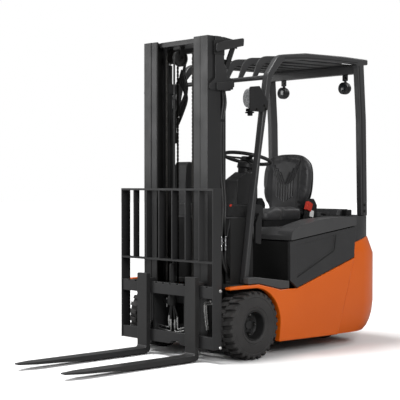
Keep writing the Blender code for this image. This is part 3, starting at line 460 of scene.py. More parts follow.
# ================================================================ node trees
def repeat_tree():
    """Copies of the input shape, each a step and a turn on from the last."""
    tree = bpy.data.node_groups.new("repeat", "GeometryNodeTree")
    face = tree.interface
    face.new_socket("Geometry", in_out="INPUT", socket_type="NodeSocketGeometry")
    for name, kind in (("Count", "Int"), ("Step", "Vector"), ("Turn", "Vector"), ("Material", "Material")):
        face.new_socket(name, in_out="INPUT", socket_type="NodeSocket" + kind)
    face.new_socket("Geometry", in_out="OUTPUT", socket_type="NodeSocketGeometry")
    add, link = tree.nodes.new, tree.links.new
    source, out = add("NodeGroupInput"), add("NodeGroupOutput")
    points, index = add("GeometryNodePoints"), add("GeometryNodeInputIndex")
    link(source.outputs["Count"], points.inputs["Count"])
    placed = {}
    for name in ("Step", "Turn"):
        scale = add("ShaderNodeVectorMath")
        scale.operation = "SCALE"
        link(source.outputs[name], scale.inputs["Vector"])
        link(index.outputs["Index"], scale.inputs["Scale"])
        placed[name] = scale.outputs["Vector"]
    link(placed["Step"], points.inputs["Position"])
    copies, real = add("GeometryNodeInstanceOnPoints"), add("GeometryNodeRealizeInstances")
    link(points.outputs["Geometry"], copies.inputs["Points"])
    link(source.outputs["Geometry"], copies.inputs["Instance"])
    link(placed["Turn"], copies.inputs["Rotation"])
    link(copies.outputs["Instances"], real.inputs["Geometry"])
    paint = add("GeometryNodeSetMaterial")
    link(real.outputs["Geometry"], paint.inputs["Geometry"])
    link(source.outputs["Material"], paint.inputs["Material"])
    link(paint.outputs["Geometry"], out.inputs["Geometry"])
    return tree


def hose_tree():
    """A smooth round hose along the input's line."""
    tree = bpy.data.node_groups.new("hose", "GeometryNodeTree")
    face = tree.interface
    face.new_socket("Geometry", in_out="INPUT", socket_type="NodeSocketGeometry")
    for name, kind in (("Radius", "Float"), ("Sides", "Int"), ("Spacing", "Float"), ("Material", "Material")):
        face.new_socket(name, in_out="INPUT", socket_type="NodeSocket" + kind)
    face.new_socket("Geometry", in_out="OUTPUT", socket_type="NodeSocketGeometry")
    add, link = tree.nodes.new, tree.links.new
    source, out = add("NodeGroupInput"), add("NodeGroupOutput")
    line, kind = add("GeometryNodeMeshToCurve"), add("GeometryNodeCurveSplineType")
    kind.spline_type = "CATMULL_ROM"
    link(source.outputs["Geometry"], line.inputs["Mesh"])
    link(line.outputs["Curve"], kind.inputs["Curve"])
    even = add("GeometryNodeResampleCurve")
    even.mode = "LENGTH"
    link(kind.outputs["Curve"], even.inputs["Curve"])
    link(source.outputs["Spacing"], even.inputs["Length"])
    ring, skin = add("GeometryNodeCurvePrimitiveCircle"), add("GeometryNodeCurveToMesh")
    link(source.outputs["Radius"], ring.inputs["Radius"])
    link(source.outputs["Sides"], ring.inputs["Resolution"])
    link(even.outputs["Curve"], skin.inputs["Curve"])
    link(ring.outputs["Curve"], skin.inputs["Profile Curve"])
    skin.inputs["Fill Caps"].default_value = True
    real, paint = add("GeometryNodeRealizeInstances"), add("GeometryNodeSetMaterial")
    link(skin.outputs["Mesh"], real.inputs["Geometry"])
    link(real.outputs["Geometry"], paint.inputs["Geometry"])
    link(source.outputs["Material"], paint.inputs["Material"])
    link(paint.outputs["Geometry"], out.inputs["Geometry"])
    return tree


REPEAT, HOSE_TREE = repeat_tree(), hose_tree()


def grown(obj, tree, material, **inputs):
    """The object's mesh put through a node tree whose named inputs are set."""
    modifier = obj.modifiers.new("grow", "NODES")
    modifier.node_group = tree
    named = {s.name: s.identifier for s in tree.interface.items_tree if s.in_out == "INPUT"}
    for name, value in {**inputs, "Material": material}.items():
        modifier[named[name]] = value
    return baked(obj)


def repeated(obj, count, material, step=(0, 0, 0), turn=(0, 0, 0)):
    return grown(obj, REPEAT, material, Count=count, Step=step, Turn=turn)


def hose(name, points, radius, material, sides=12, spacing=0.008):
    """A hose through the points."""
    mesh = bpy.data.meshes.new(name)
    mesh.from_pydata([tuple(p) for p in points], [(i, i + 1) for i in range(len(points) - 1)], [])
    obj = bpy.data.objects.new(name, mesh)
    bpy.context.scene.collection.objects.link(obj)
    return grown(obj, HOSE_TREE, material, Radius=radius, Sides=sides, Spacing=spacing)


def hex_bolt(name, at, toward, size, material=None):
    """A hexagon head with its washer, its underside at the point."""
    washer = turned(name, [(0.0001, 0), (size * 0.75, 0), (size * 0.75, size * 0.1), (0.0001, size * 0.1)],
        (0, 0, 0), sides=20)
    head = prism(name, circle((0, 0), size * 0.56, 6), size * 0.1, size * 0.55, "x", size * 0.05)
    bolt = painted(joined(name, washer, head), material or ZINC)
    turn = Vector((1, 0, 0)).rotation_difference(Vector(toward)).to_matrix().to_4x4()
    return moved(bolt, at, turn)


def both_sides(obj, name, body_format):
    """Places a piece of the left side and its mirror image."""
    other = mirror_of(obj, name.format("right"))
    obj.name = name.format("left")
    place(obj, body_format.format("left"))
    place(other, body_format.format("right"))


# ================================================================ wheels
def front_tyre(side, sign):
    """Solid tyre: plain sidewalls, and lugs that reach from the shoulder to the middle."""
    node = f"front_{side}_tyre"
    low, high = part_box(node)
    near, far = sorted((abs(low.x), abs(high.x)))
    middle, half = (near + far) / 2, (far - near) / 2
    wall = [(0.1003, 0.90), (0.108, 0.97), (0.118, 0.99), (0.122, 0.955), (0.126, 0.995), (0.150, 1.0)]
    wall += [(0.178, 0.985), (0.186, 0.955), (0.190, 0.99), (0.200, 0.975), (0.208, 0.92), (0.2125, 0.80)]
    profile = [(r, middle + half * s) for r, s in wall] + [(r, middle - half * s) for r, s in reversed(wall)]
    carcass = painted(turned("carcass", profile, (0, 0, 0), sides=72), TYRE)
    lug = [(0.190, half * 0.975), (0.210, half * 0.985), (0.2205, half * 0.95), (TYRE_R - 0.0002, half * 0.80)]
    lug += [(TYRE_R - 0.0002, -half * 0.02), (0.2105, -half * 0.02), (0.2105, half * 0.70), (0.192, half * 0.88)]
    count = 26
    rings = []
    for mark, shift in ((1, 0.0), (-1, 0.5)):
        outline = [(mark * x, r) for r, x in lug]
        tread = prism("lug", outline, -0.0135, 0.0135, "y", 0.0022)
        for v in tread.data.vertices:
            v.co.y += 0.16 * v.co.x * mark * v.co.x / half - 0.004
            v.co.y *= 0.86 + 0.14 * (v.co.z - 0.19) / 0.04
        tread.data.transform(Matrix.Rotation(math.tau * shift / count, 4, "X"))
        if mark < 0:
            tread.data.flip_normals()
        rings.append(repeated(tread, count, TYRE, turn=(math.tau / count, 0, 0)))
        moved(rings[-1], (middle, 0, 0))
    tyre = joined(node + "_finished", carcass, *rings)
    bm = bmesh.new()
    bm.from_mesh(tyre.data)
    bmesh.ops.recalc_face_normals(bm, faces=bm.faces)
    bm.to_mesh(tyre.data)
    bm.free()
    if sign < 0:
        mirrored(tyre)
    moved(tyre, (0, 0, AXLE_Z))
    stand_in(tyre, node)


def front_rim(side, sign):
    """Deep rim with a ring of wheel nuts round the hub."""
    node = f"front_{side}_rim"
    profile = [(0.0305, 0.385), (0.050, 0.385), (0.056, 0.423), (0.078, 0.425), (0.086, 0.365), (0.0997, 0.362)]
    profile += [(0.0997, 0.514), (0.097, 0.517), (0.092, 0.516), (0.088, 0.508), (0.086, 0.450), (0.080, 0.443)]
    profile += [(0.064, 0.440), (0.056, 0.445), (0.053, 0.453), (0.047, 0.457), (0.030, 0.458), (0.028, 0.465)]
    profile += [(0.0004, 0.467), (0.0004, 0.429), (0.0305, 0.429)]
    dish = painted(turned("dish", profile, (0, 0, 0), sides=56), RIM)
    nut = hex_bolt("nut", (0.441, 0.0685, 0), (1, 0, 0), 0.017)
    nuts = repeated(nut, 5, LINKS, turn=(math.tau / 5, 0, 0))
    stud = shaft("stud", (0.0685, 0), 0.0045, 0.449, 0.458, "x", 0.0008, 12)
    studs = repeated(stud, 5, ZINC, turn=(math.tau / 5, 0, 0))
    # Dark discs of painted shade stand in for the holes in the dish.
    hole = shaft("hole", (0.0, 0.068), 0.0075, 0.4412, 0.4418, "x", 0, 20)
    moved(hole, turn=Matrix.Rotation(math.tau / 10, 4, "X"))
    holes = repeated(hole, 5, CHASSIS, turn=(math.tau / 5, 0, 0))
    caps = repeated(hex_bolt("cap", (0.4585, 0.036, 0), (1, 0, 0), 0.009), 6, LINKS, turn=(math.tau / 6, 0, 0))
    rim = joined(node + "_finished", dish, nuts, studs, holes, caps)
    if sign < 0:
        mirrored(rim)
    moved(rim, (0, 0, AXLE_Z))
    stand_in(rim, node)


def rear_wheel(side, sign):
    """One of the steered pair: ribbed tyre and small rim."""
    low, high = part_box(f"rear_{side}_tyre")
    near, far = sorted((abs(low.x), abs(high.x)))
    middle, half = (near + far) / 2, (far - near) / 2
    radius = REAR_AXLE.z
    wall = [(0.0803, 0.90), (0.088, 0.99), (0.120, 1.0), (0.126, 0.96), (0.130, 0.995), (0.165, 0.97)]
    wall += [(0.183, 0.90), (radius, 0.70), (radius, 0.55), (0.181, 0.52), (0.181, 0.42), (radius, 0.39)]
    wall += [(radius, 0.16), (0.181, 0.13), (0.181, 0.03)]
    profile = [(r, middle + half * s) for r, s in wall] + [(r, middle - half * s) for r, s in reversed(wall)]
    tyre = painted(turned("tyre", [(r, sign * x) for r, x in profile], REAR_AXLE, sides=64), TYRE)
    tyre.name = f"rear_{side}_tyre_finished"
    stand_in(tyre, f"rear_{side}_tyre")
    dish = [(0.0205, 0.032), (0.036, 0.032), (0.041, 0.070), (0.064, 0.070), (0.070, 0.042), (0.0797, 0.040)]
    dish += [(0.0797, 0.144), (0.074, 0.147), (0.070, 0.140), (0.068, 0.088), (0.044, 0.082), (0.038, 0.118)]
    dish += [(0.034, 0.126), (0.0205, 0.126)]
    made = painted(turned("dish", [(r, sign * x) for r, x in dish], (0, 0, 0), sides=48), RIM)
    nut = hex_bolt("nut", (sign * 0.0845, 0.056, 0), (sign, 0, 0), 0.013)
    nuts = repeated(nut, 5, ZINC, turn=(math.tau / 5, 0, 0))
    rim = moved(joined(f"rear_{side}_rim_finished", made, nuts), REAR_AXLE)
    stand_in(rim, f"rear_{side}_rim")


# ================================================================ mast
MAST_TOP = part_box("outer_channel_left")[1].z
CHAIN_X, SHEAVE_Y, SHEAVE_Z, SHEAVE_R = 0.132, -0.150, MAST_TOP - 0.105, 0.050
PULLEY_X, PULLEY_Z = -0.050, MAST_TOP - 0.115
MID_BEAM_TOP, ANCHOR_TOP = 0.460, 0.3703
LINK_PITCH = 0.0127


def cut_by(obj, *tools):
    """The object less the tools, which are removed."""
    for tool in tools:
        cut = obj.modifiers.new("cut", "BOOLEAN")
        cut.object, cut.solver = tool, "EXACT"
        baked(obj)
        bpy.data.objects.remove(tool)
    return obj


def outer_channel(side):
    """Channel with the bracket at its top, the slanting arm, its strut and the clamp of the lift cylinder."""
    node = f"outer_channel_{side}"
    sign = SIDES[side]
    rail = merged_copy(node)
    if sign < 0:
        mirrored(rail)
    cut_by(rail, box("outside", (0.3231, 0.40), (-0.5, 0.5), (1.70, 2.30)))
    painted(softened(rail, 0.0045), CHARCOAL)
    plate = [(-0.185, 2.1445), (-0.132, 2.1445), (-0.102, 2.120), (-0.102, 1.965), (-0.081, 1.942), (-0.076, 1.883)]
    plate += [(-0.051, 1.869), (-0.051, 1.800), (-0.090, 1.786), (-0.228, 1.786), (-0.238, 1.800), (-0.232, 1.828)]
    plate += [(-0.185, 1.866)]
    arm = rounded([(-0.193, 2.035, 0.012), (0.068, 2.096, 0.008), (0.072, 2.150, 0.010), (-0.102, 2.117, 0.0),
        (-0.185, 2.092, 0.025)])
    clamp = [(-0.183, 1.835), (-0.183, 1.786), (-0.090, 1.786), (-0.020, 1.815), (-0.020, 1.852)]
    strut = [(-0.010, 2.095), (0.028, 2.100), (-0.045, 1.935), (-0.080, 1.945)]
    shade = [(-0.199, 2.023), (-0.184, 2.023), (-0.184, 1.864), (-0.232, 1.828), (-0.241, 1.844), (-0.199, 1.874)]
    made = [
        painted(prism("plate", plate, 0.321, 0.335, "x", 0.003), CHARCOAL),
        painted(prism("arm", arm, 0.318, 0.350, "x", 0.004), CHARCOAL),
        # Painted shade: the dark patch behind the arm, and the dark strip along the bracket's front edge.
        painted(prism("painted_shade_behind_arm", [(-0.200, 2.112), (-0.100, 2.126), (-0.100, 2.020), (-0.200, 2.020)], 0.330, 0.3354,
            "x"), CHASSIS),
        painted(prism("clamp", clamp, 0.330, 0.348, "x", 0.003), CHARCOAL),
        painted(prism("strut", strut, 0.300, 0.318, "x", 0.002), CHASSIS),
        painted(prism("shade", shade, 0.3200, 0.3236, "x"), CHASSIS),
        # A dark patch of painted shade stands in for the slot's hollow.
        painted(prism("slot", rounded([(-0.190, 2.118, 0.006), (-0.174, 2.118, 0.006), (-0.174, 2.088, 0.006),
            (-0.190, 2.088, 0.006)]), 0.330, 0.3353, "x"), CHASSIS),
        # A thin strip of painted shade on the line where the inner and outer channels meet.
        painted(box("joint", (0.2472, 0.2545), (-0.2446, -0.2430), (0.070, 2.1440)), RAIL_SHADE),
        hex_bolt("bolt", (0.335, -0.150, 1.815), (1, 0, 0), 0.018, FORGED),
        painted(box("saddle", (0.232, 0.322), (-0.036, -0.028), (1.790, 1.850), 0.002), CHARCOAL),
    ]
    for z in (1.589, 1.223):
        made.append(painted(box("clip", (0.288, 0.318), (-0.127, -0.078), (z - 0.009, z + 0.009), 0.003), DARK))
    channel = joined(node + "_finished", rail, *made)
    if sign < 0:
        mirrored(channel)
    stand_in(channel, node)


def inner_channel(side):
    """Inner channel, with painted shade on its faces that point sideways, where the rollers run."""
    node = f"inner_channel_{side}"
    rail = painted(softened(merged_copy(node), 0.0055), CHARCOAL)
    rail.data.materials.append(RAIL_SHADE)
    # Faces that point sideways, in the channel's hollows, get the painted shade.
    for face in rail.data.polygons:
        face.material_index = int(abs(face.normal.x) > 0.5)
    stand_in(rail, node)


def crosshead():
    """Head of the inner mast with the grooved chain sheaves and the hose pulley."""
    head = painted(box("head", (-0.1867, 0.1867), (-0.215, -0.040), (MAST_TOP - 0.040, MAST_TOP - 0.005), 0.004),
        CHARCOAL)
    wings = painted(box("wings", (-0.302, 0.302), (-0.120, -0.040), (MAST_TOP - 0.0395, MAST_TOP - 0.0055), 0.004),
        CHARCOAL)
    parts = [head, wings]
    groove = [(0.012, -0.009), (0.0454, -0.009), (0.0454, 0.009), (0.012, 0.009)]
    for sign in (1, -1):
        at = (sign * CHAIN_X, SHEAVE_Y, SHEAVE_Z)
        parts.append(painted(turned("sheave", groove, at), LINKS))
        x = sorted((sign * (CHAIN_X + 0.0095), sign * (CHAIN_X + 0.018)))
        parts.append(painted(box("cheek", x, (SHEAVE_Y - 0.018, SHEAVE_Y + 0.018),
            (SHEAVE_Z - 0.020, MAST_TOP - 0.035), 0.003), CHARCOAL))
        parts.append(hex_bolt("pin", (sign * (CHAIN_X + 0.018), SHEAVE_Y, SHEAVE_Z), (sign, 0, 0), 0.016, FORGED))
    wheel = [(0.010, -0.016), (0.022, -0.016), (0.025, -0.006), (0.044, -0.005), (0.047, -0.012), (0.059, -0.012)]
    wheel += [(0.059, -0.010), (0.051, -0.0085), (0.051, 0.0085), (0.059, 0.010), (0.059, 0.012), (0.047, 0.012)]
    wheel += [(0.044, 0.005), (0.025, 0.006), (0.022, 0.016), (0.010, 0.016)]
    at = (PULLEY_X, SHEAVE_Y, PULLEY_Z)
    parts.append(painted(turned("pulley", wheel, at, sides=56), FORGED))
    hanger = [(-0.013, -0.016), (0.013, -0.016), (0.022, 0.080), (-0.022, 0.080)]
    hanger = [(SHEAVE_Y + y, PULLEY_Z + z) for y, z in hanger]
    parts.append(painted(prism("hanger", hanger, PULLEY_X + 0.017, PULLEY_X + 0.024, "x", 0.002), CHARCOAL))
    parts.append(painted(shaft("axle", (SHEAVE_Y, PULLEY_Z), 0.0098, PULLEY_X - 0.018, PULLEY_X + 0.018, "x",
        0.001), ZINC))
    parts.append(hex_bolt("nut", (PULLEY_X + 0.024, SHEAVE_Y, PULLEY_Z), (1, 0, 0), 0.018, LINKS))
    stand_in(joined("inner_crosshead_finished", *parts), "inner_crosshead")


def chain_links(name, along):
    """Two links of a leaf chain, one after the other, at the origin."""
    low, high = -0.5 * LINK_PITCH, 0.5 * LINK_PITCH
    side = [(0.0034 * math.cos(a), high + 0.0034 * math.sin(a)) for a in (0.2, 0.9, 1.57, 2.24, 2.94)]
    outline = side + [(-y, -z) for y, z in side]
    plates = []
    for shift, spans in ((0.0, (-0.0069, 0.0, 0.0069)), (LINK_PITCH, (-0.0036, 0.0036))):
        for x in spans:
            plate = prism("plate", [(y, z + shift) for y, z in outline], x - 0.0011, x + 0.0011, "x")
            plates.append(painted(plate, LINKS))
    made = joined(name, *plates)
    if along == "y":
        moved(made, turn=Matrix.Rotation(math.radians(90), 4, "X"))
    return made


def lift_chain(side):
    """Chain from the carriage over the sheave to its anchor on the outer mast."""
    node = f"lift_chain_{side}"
    x = SIDES[side] * CHAIN_X
    step = 2 * LINK_PITCH
    links = chain_links("arc", "y")
    for v in links.data.vertices:
        turn = v.co.y / SHEAVE_R
        radius = SHEAVE_R + v.co.z
        v.co.y, v.co.z = radius * math.sin(turn), radius * math.cos(turn)
    moved(links, turn=Matrix.Rotation(math.radians(84), 4, "X"))
    arc = repeated(links, 6, LINKS, turn=(-step / SHEAVE_R, 0, 0))
    stand_in(moved(arc, (x, SHEAVE_Y, SHEAVE_Z)), node)
    ends = (
        ("front", -SHEAVE_R, ANCHOR_TOP, "carriage"),
        ("rear", SHEAVE_R, MID_BEAM_TOP, "outer_mast"),
    )
    for name, shift, foot, body in ends:
        count = int((SHEAVE_Z - foot) / step)
        strand = repeated(chain_links("strand", "z"), count, LINKS, step=(0, 0, step))
        y = SHEAVE_Y + shift
        moved(strand, (x, y, foot + 0.012))
        bolt = painted(shaft("anchor_bolt", (x, y), 0.0055, foot - 0.055, foot + 0.010, "z", 0.001, 12), ZINC)
        strand = joined(f"{node}_{name}_strand", strand, bolt)
        bent(strand)


def pulley_hoses():
    """Two hoses from the carriage over the pulley to the right inner channel, with loops and short runs beside them."""
    r = 0.056
    top, foot = PULLEY_Z, 0.62
    for k, x in enumerate((PULLEY_X + 0.0043, PULLEY_X - 0.0043)):
        arc = [(x, SHEAVE_Y + r * math.cos(a), top + r * math.sin(a)) for a in (math.pi * i / 12 for i in range(13))]
        over = hose(f"pulley_hose_{k}_over", arc, 0.0042, HOSE)
        place(over, "inner_mast")
        s = 0.017 * k
        front = [(x, SHEAVE_Y - r, top), (x, SHEAVE_Y - r, 1.2), (-0.012 - s * 0.5, -0.235, 0.80),
            (-0.012 - s * 0.5, -0.245, foot)]
        down = hose(f"pulley_hose_{k}_front", front, 0.0042, HOSE)
        bent(down)
        back = [(x, SHEAVE_Y + r, top), (-0.068 - s, -0.092, 1.94), (-0.042 - s, -0.090, 1.83),
            (-0.070 - s, -0.090, 1.76)]
        back += [(-0.122 - s, -0.088, 1.69), (-0.172 - s, -0.082, 1.64), (-0.192 - s, -0.080, 1.50),
            (-0.192 - s, -0.080, 0.47)]
        rear = hose(f"pulley_hose_{k}_rear", back, 0.0055, HOSE)
        bent(rear)
        for j in (1, 2):
            extra = [(px - 0.016 * j, py + 0.010 * j, pz - 0.02 * j) for px, py,
                pz in back[1:6]] + [(-0.192 - s, -0.074 + 0.012 * j, 1.45)]
            place(hose(f"pulley_hose_{k}_beside_{j}", extra, 0.0065, HOSE), "outer_mast")
        loop = [(-0.100 - s, -0.075, 1.96), (-0.128 - s, -0.072, 1.88), (-0.085 - s, -0.074, 1.82),
            (-0.066 - s, -0.072, 1.75), (-0.110 - s, -0.07, 1.66), (-0.165 - s, -0.066, 1.58)]
        other = hose(f"pulley_hose_{k}_loop", loop, 0.0065, HOSE)
        place(other, "outer_mast")


def mast_side_hoses():
    """Two supply hoses down the outer face of the left channel, with crimped fittings, and on to the floor."""
    for k, s in enumerate((0.0, 0.022)):
        upper = [(0.307, -0.105 + s * 0.6, 1.84), (0.308, -0.088 + s, 1.715), (0.307, -0.104 + s * 0.9, 1.60)]
        upper += [(0.308, -0.110 + s, 1.42), (0.312, -0.110 + s, 1.22), (0.330, -0.112 + s, 1.05),
            (0.346, -0.130 + s, 0.92), (0.348, -0.142 + 1.8 * s, 0.815)]
        run = hose(f"mast_hose_{k}_upper", upper, 0.0095, HOSE)
        place(run, "outer_mast")
        y = -0.142 + 1.8 * s
        crimp = [(0.0004, 0.815), (0.0105, 0.815), (0.0115, 0.808), (0.0115, 0.790), (0.0098, 0.786),
            (0.0098, 0.780), (0.0130, 0.776)]
        crimp += [(0.0130, 0.760), (0.0100, 0.757), (0.0115, 0.752), (0.0115, 0.732), (0.0105, 0.724),
            (0.0004, 0.724)]
        fitting = painted(turned(f"mast_hose_{k}_fitting", crimp, (0.348, y, 0), "z", 18), CHROME)
        place(fitting, "outer_mast")
        lower = [(0.348, y, 0.726), (0.352, -0.130 + s, 0.652), (0.354, -0.094 + s, 0.575),
            (0.348, -0.036 + s * 0.6, 0.520), (0.335, 0.020 + s * 0.3, 0.478)]
        run = hose(f"mast_hose_{k}_lower", lower, 0.0105, HOSE)
        bent(run)


# ================================================================ fork carriage
def carriage():
    """Notched upper bar, lower bar with the opening for unhooking forks, roller plates and rollers."""
    top = [(-0.460, 0.421), (0.460, 0.421), (0.460, 0.500)]
    for i in range(5, -7, -1):
        middle = 0.041 + 0.072 * i
        top += [(middle + 0.007, 0.500), (middle + 0.006, 0.489), (middle - 0.006, 0.489), (middle - 0.007, 0.500)]
    top.append((-0.460, 0.500))
    foot = [(-0.460, 0.172), (-0.460, 0.092), (0.034, 0.092), (0.060, 0.112), (0.122, 0.112), (0.150, 0.092)]
    foot += [(0.460, 0.092), (0.460, 0.172)]
    parts = []
    for outline in (top, foot):
        parts.append(painted(prism("bar", outline, -0.3267, -0.2967, "y", 0.0025), CHARCOAL))
    roller = [(0.012, 0.165), (0.030, 0.165), (0.034, 0.169), (0.034, 0.178), (0.038, 0.180), (0.038, 0.218),
        (0.035, 0.2247), (0.012, 0.2247)]
    for sign in (1, -1):
        x = sorted((sign * 0.148, sign * 0.172))
        parts.append(painted(box("plate", x, (-0.2975, -0.1575), (0.094, 0.470), 0.003), CHARCOAL))
        for z in (0.145, 0.445):
            profile = [(r, sign * a) for r, a in roller]
            parts.append(painted(turned("roller", profile, (0, -0.1875, z), sides=36), LINKS))
        x = sorted((sign * 0.100, sign * 0.152))
        parts.append(painted(box("anchor", x, (-0.215, -0.188), (0.340, 0.370), 0.002), CHARCOAL))
        for x, z in ((0.405, 0.468), (0.405, 0.108)):
            parts.append(hex_bolt("bolt", (sign * x, -0.2967, z), (0, 1, 0), 0.018))
    stand_in(joined("fork_carriage_finished", *parts), "fork_carriage")


def carriage_hoses():
    """The hoses' sleeve behind the upper bar, and four crimped ends with bent steel tubes to both sides."""
    sleeve = [(0.0005, 0.625), (0.017, 0.625), (0.021, 0.610), (0.021, 0.520), (0.019, 0.500), (0.019, 0.430)]
    sleeve += [(0.031, 0.405), (0.034, 0.385), (0.034, 0.352), (0.026, 0.340), (0.0005, 0.340)]
    cuff = painted(turned("hose_sleeve", sleeve, (-0.020, -0.250, 0), "z", 32), HOSE)
    place(cuff, "carriage")
    crimp = [(0.0004, 0.060), (0.0062, 0.060), (0.0070, 0.056), (0.0070, 0.036), (0.0088, 0.033), (0.0088, 0.020)]
    crimp += [(0.0062, 0.017), (0.0066, 0.004), (0.0055, 0.000), (0.0004, 0.000)]
    ends = ((-0.053, 0.210, -0.201, 0.206), (-0.034, 0.185, -0.194, 0.180), (0.006, 0.185, 0.110, 0.182),
        (0.034, 0.205, 0.118, 0.208))
    for k, (x, z, far, far_z) in enumerate(ends):
        start = -0.020 + (x + 0.014) * 0.35
        tail = hose(f"carriage_hose_{k}", [(start, -0.250, 0.345), (x * 0.7 - 0.006, -0.250, 0.300),
            (x, -0.250, z + 0.062)], 0.0068, HOSE)
        place(tail, "carriage")
        fitting = painted(turned(f"carriage_hose_{k}_fitting", crimp, (x, -0.250, z), "z", 18), ZINC)
        place(fitting, "carriage")
        toward = math.copysign(1, far - x)
        tube = [(x, -0.250, z + 0.002), (x, -0.250, z - 0.012), (x + 0.012 * toward, -0.250, z - 0.022),
            (far, -0.252, far_z - 0.004), (far + 0.014 * toward, -0.256, far_z - 0.006)]
        place(hose(f"carriage_tube_{k}", tube, 0.0052, ZINC), "carriage")
    block = painted(box("hose_block", (-0.225, -0.196), (-0.285, -0.235), (0.160, 0.225), 0.004), DARK)
    bolt = hex_bolt("block_bolt", (-0.2105, -0.285, 0.212), (0, -1, 0), 0.013)
    place(joined("tube_block", block, bolt), "carriage")
    for k, s in enumerate((0.0, 0.016)):
        bend = [(0.392, -0.282 + s, 0.399 - s), (0.345, -0.276 + s, 0.392 - s), (0.322, -0.272 + s, 0.368),
            (0.326, -0.270 + s, 0.300), (0.343 - 0.5 * s, -0.268 + s, 0.206)]
        place(hose(f"side_tube_{k}", bend, 0.0068, ZINC), "carriage")


def backrest_plates():
    """The plates at both ends of the load backrest, with their bolts."""
    for side, sign in SIDES.items():
        node = f"backrest_{side}_plate"
        low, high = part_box(node)
        plate = cut_by(merged_copy(node), box("rear", (low.x - 0.1, high.x + 0.1), (high.y - AXLE_Y - 0.016, 0.0),
            (0, 2)))
        stand_in(painted(softened(plate, 0.0015), CHARCOAL), node)
        x = high.x if sign > 0 else low.x
        bolts = [hex_bolt("bolt", (x - sign * 0.001, high.y - AXLE_Y - 0.028, z), (sign, 0, 0),
            0.015) for z in (0.472, 0.103)]
        place(joined(f"backrest_{side}_bolts", *bolts), "carriage")


# ================================================================ seat
def stuffed(obj, voxel, cap, low, high):
    """The closed shape filled with air as cloth. No point moves farther than the cap or out of the box low to high."""
    skin = obj.modifiers.new("skin", "REMESH")
    skin.mode, skin.voxel_size = "VOXEL", voxel
    baked(obj)
    before = [v.co.copy() for v in obj.data.vertices]
    cloth = obj.modifiers.new("cloth", "CLOTH")
    cloth.settings.use_pressure = True
    cloth.settings.uniform_pressure_force = 4.0
    cloth.settings.effector_weights.gravity = 0.0
    cloth.settings.tension_stiffness = cloth.settings.compression_stiffness = 60.0
    cloth.settings.bending_stiffness = 12.0
    cloth.point_cache.frame_start, cloth.point_cache.frame_end = 1, 20
    for step in range(1, 21):
        bpy.context.scene.frame_set(step)
    baked(obj)
    bpy.context.scene.frame_set(1)
    for v, start in zip(obj.data.vertices, before):
        move = v.co - start
        if move.length > cap:
            move *= cap / move.length
        v.co = Vector(min(max(c, a), b) for c, a, b in zip(start + move, low, high))
    calm = obj.modifiers.new("calm", "SMOOTH")
    calm.factor, calm.iterations = 0.5, 14
    finer = obj.modifiers.new("finer", "SUBSURF")
    finer.levels = finer.render_levels = 1
    return baked(obj)


def rise(value, low, high):
    """From 0 at low to 1 at high, smoothly."""
    t = min(max((value - low) / (high - low), 0.0), 1.0)
    return t * t * (3 - 2 * t)


def flowing(points, steps=6):
    """A closed smooth outline through the points."""
    out = []
    for i in range(len(points)):
        a, b, c, d = (Vector(points[(i + k) % len(points)]) for k in (-1, 0, 1, 2))
        for j in range(steps):
            t = j / steps
            out.append(tuple(0.5 * (2 * b + (c - a) * t + (2 * a - 5 * b + 4 * c - d) * t**2 + (3 * b - a - 3 * c + d) * t**3)))
    return out


def segment_distance(point, a, b):
    along = (b - a).normalized()
    t = min(max((point - a).dot(along), 0.0), (b - a).length)
    return (point - a - along * t).length


def back_front(z):
    """The y of the back's front face at that height."""
    return 0.815 + (z - 0.90) * 0.072


CHANNELS = (  # the sewn channels of the back's left half, as (x, z) points
    ((0.142, 1.330), (0.078, 1.190), (0.078, 1.075)),
    ((0.112, 1.300), (0.052, 1.170), (0.052, 1.062)),
    ((0.080, 1.275), (0.026, 1.160), (0.026, 1.050)),
    ((0.046, 1.245), (0.000, 1.155), (0.000, 1.040)),
)


def seat_back():
    """Shield-shaped back with side bolsters and V-shaped sewn channels."""
    half = [(0.0, 1.393), (0.085, 1.390), (0.150, 1.376), (0.198, 1.335), (0.225, 1.270), (0.232, 1.190)]
    half += [(0.226, 1.110), (0.206, 1.045), (0.176, 0.985), (0.150, 0.925), (0.080, 0.908), (0.0, 0.907)]
    slab = prism("seat_back_finished", flowing(mirror_line(half)), 0.0, 0.062, "y")
    for v in slab.data.vertices:
        v.co.y = back_front(v.co.z) + 0.016 + v.co.y * (1.0 - 0.4 * rise(v.co.z, 1.30, 1.40))
    softened(slab, 0.018, 3)
    pad = stuffed(slab, 0.006, 0.022, Vector((-0.2395, 0.806, 0.9015)), Vector((0.2395, 0.924, 1.401)))
    for v in pad.data.vertices:
        x, z = abs(v.co.x), v.co.z
        front = 1.0 - rise(v.co.y, back_front(z) + 0.020, back_front(z) + 0.055)
        bolster = rise(x, 0.118, 0.178) + (1 - rise(z, 0.93, 1.00)) + rise(z, 1.34, 1.395)
        v.co.y += front * (0.030 * (1 - min(bolster, 1.0)) - 0.006)
        near = min(
            segment_distance(Vector((x, z)), Vector(a), Vector(b)) for line in CHANNELS for a, b in zip(line,
                line[1:])
        )
        v.co.y += 0.0095 * front * (1 - rise(near, 0.002, 0.0095))
    stand_in(painted(pad, VINYL), "seat_back")
    shell = mirror_line([(x * 0.95, 0.9 + (z - 0.9) * 0.985) for x, z in half])
    rear = prism("seat_back_shell", flowing(shell), 0.0, 0.010, "y", 0.003)
    for v in rear.data.vertices:
        v.co.y += back_front(v.co.z) + 0.077 - 0.036 * rise(v.co.z, 1.30, 1.40)
    place(painted(rear, DARK), "hood")


def mirror_line(points):
    """The line, which starts and ends at x 0, and its mirror image as one closed outline."""
    return points + [(-x, z) for x, z in reversed(points[1:-1])]


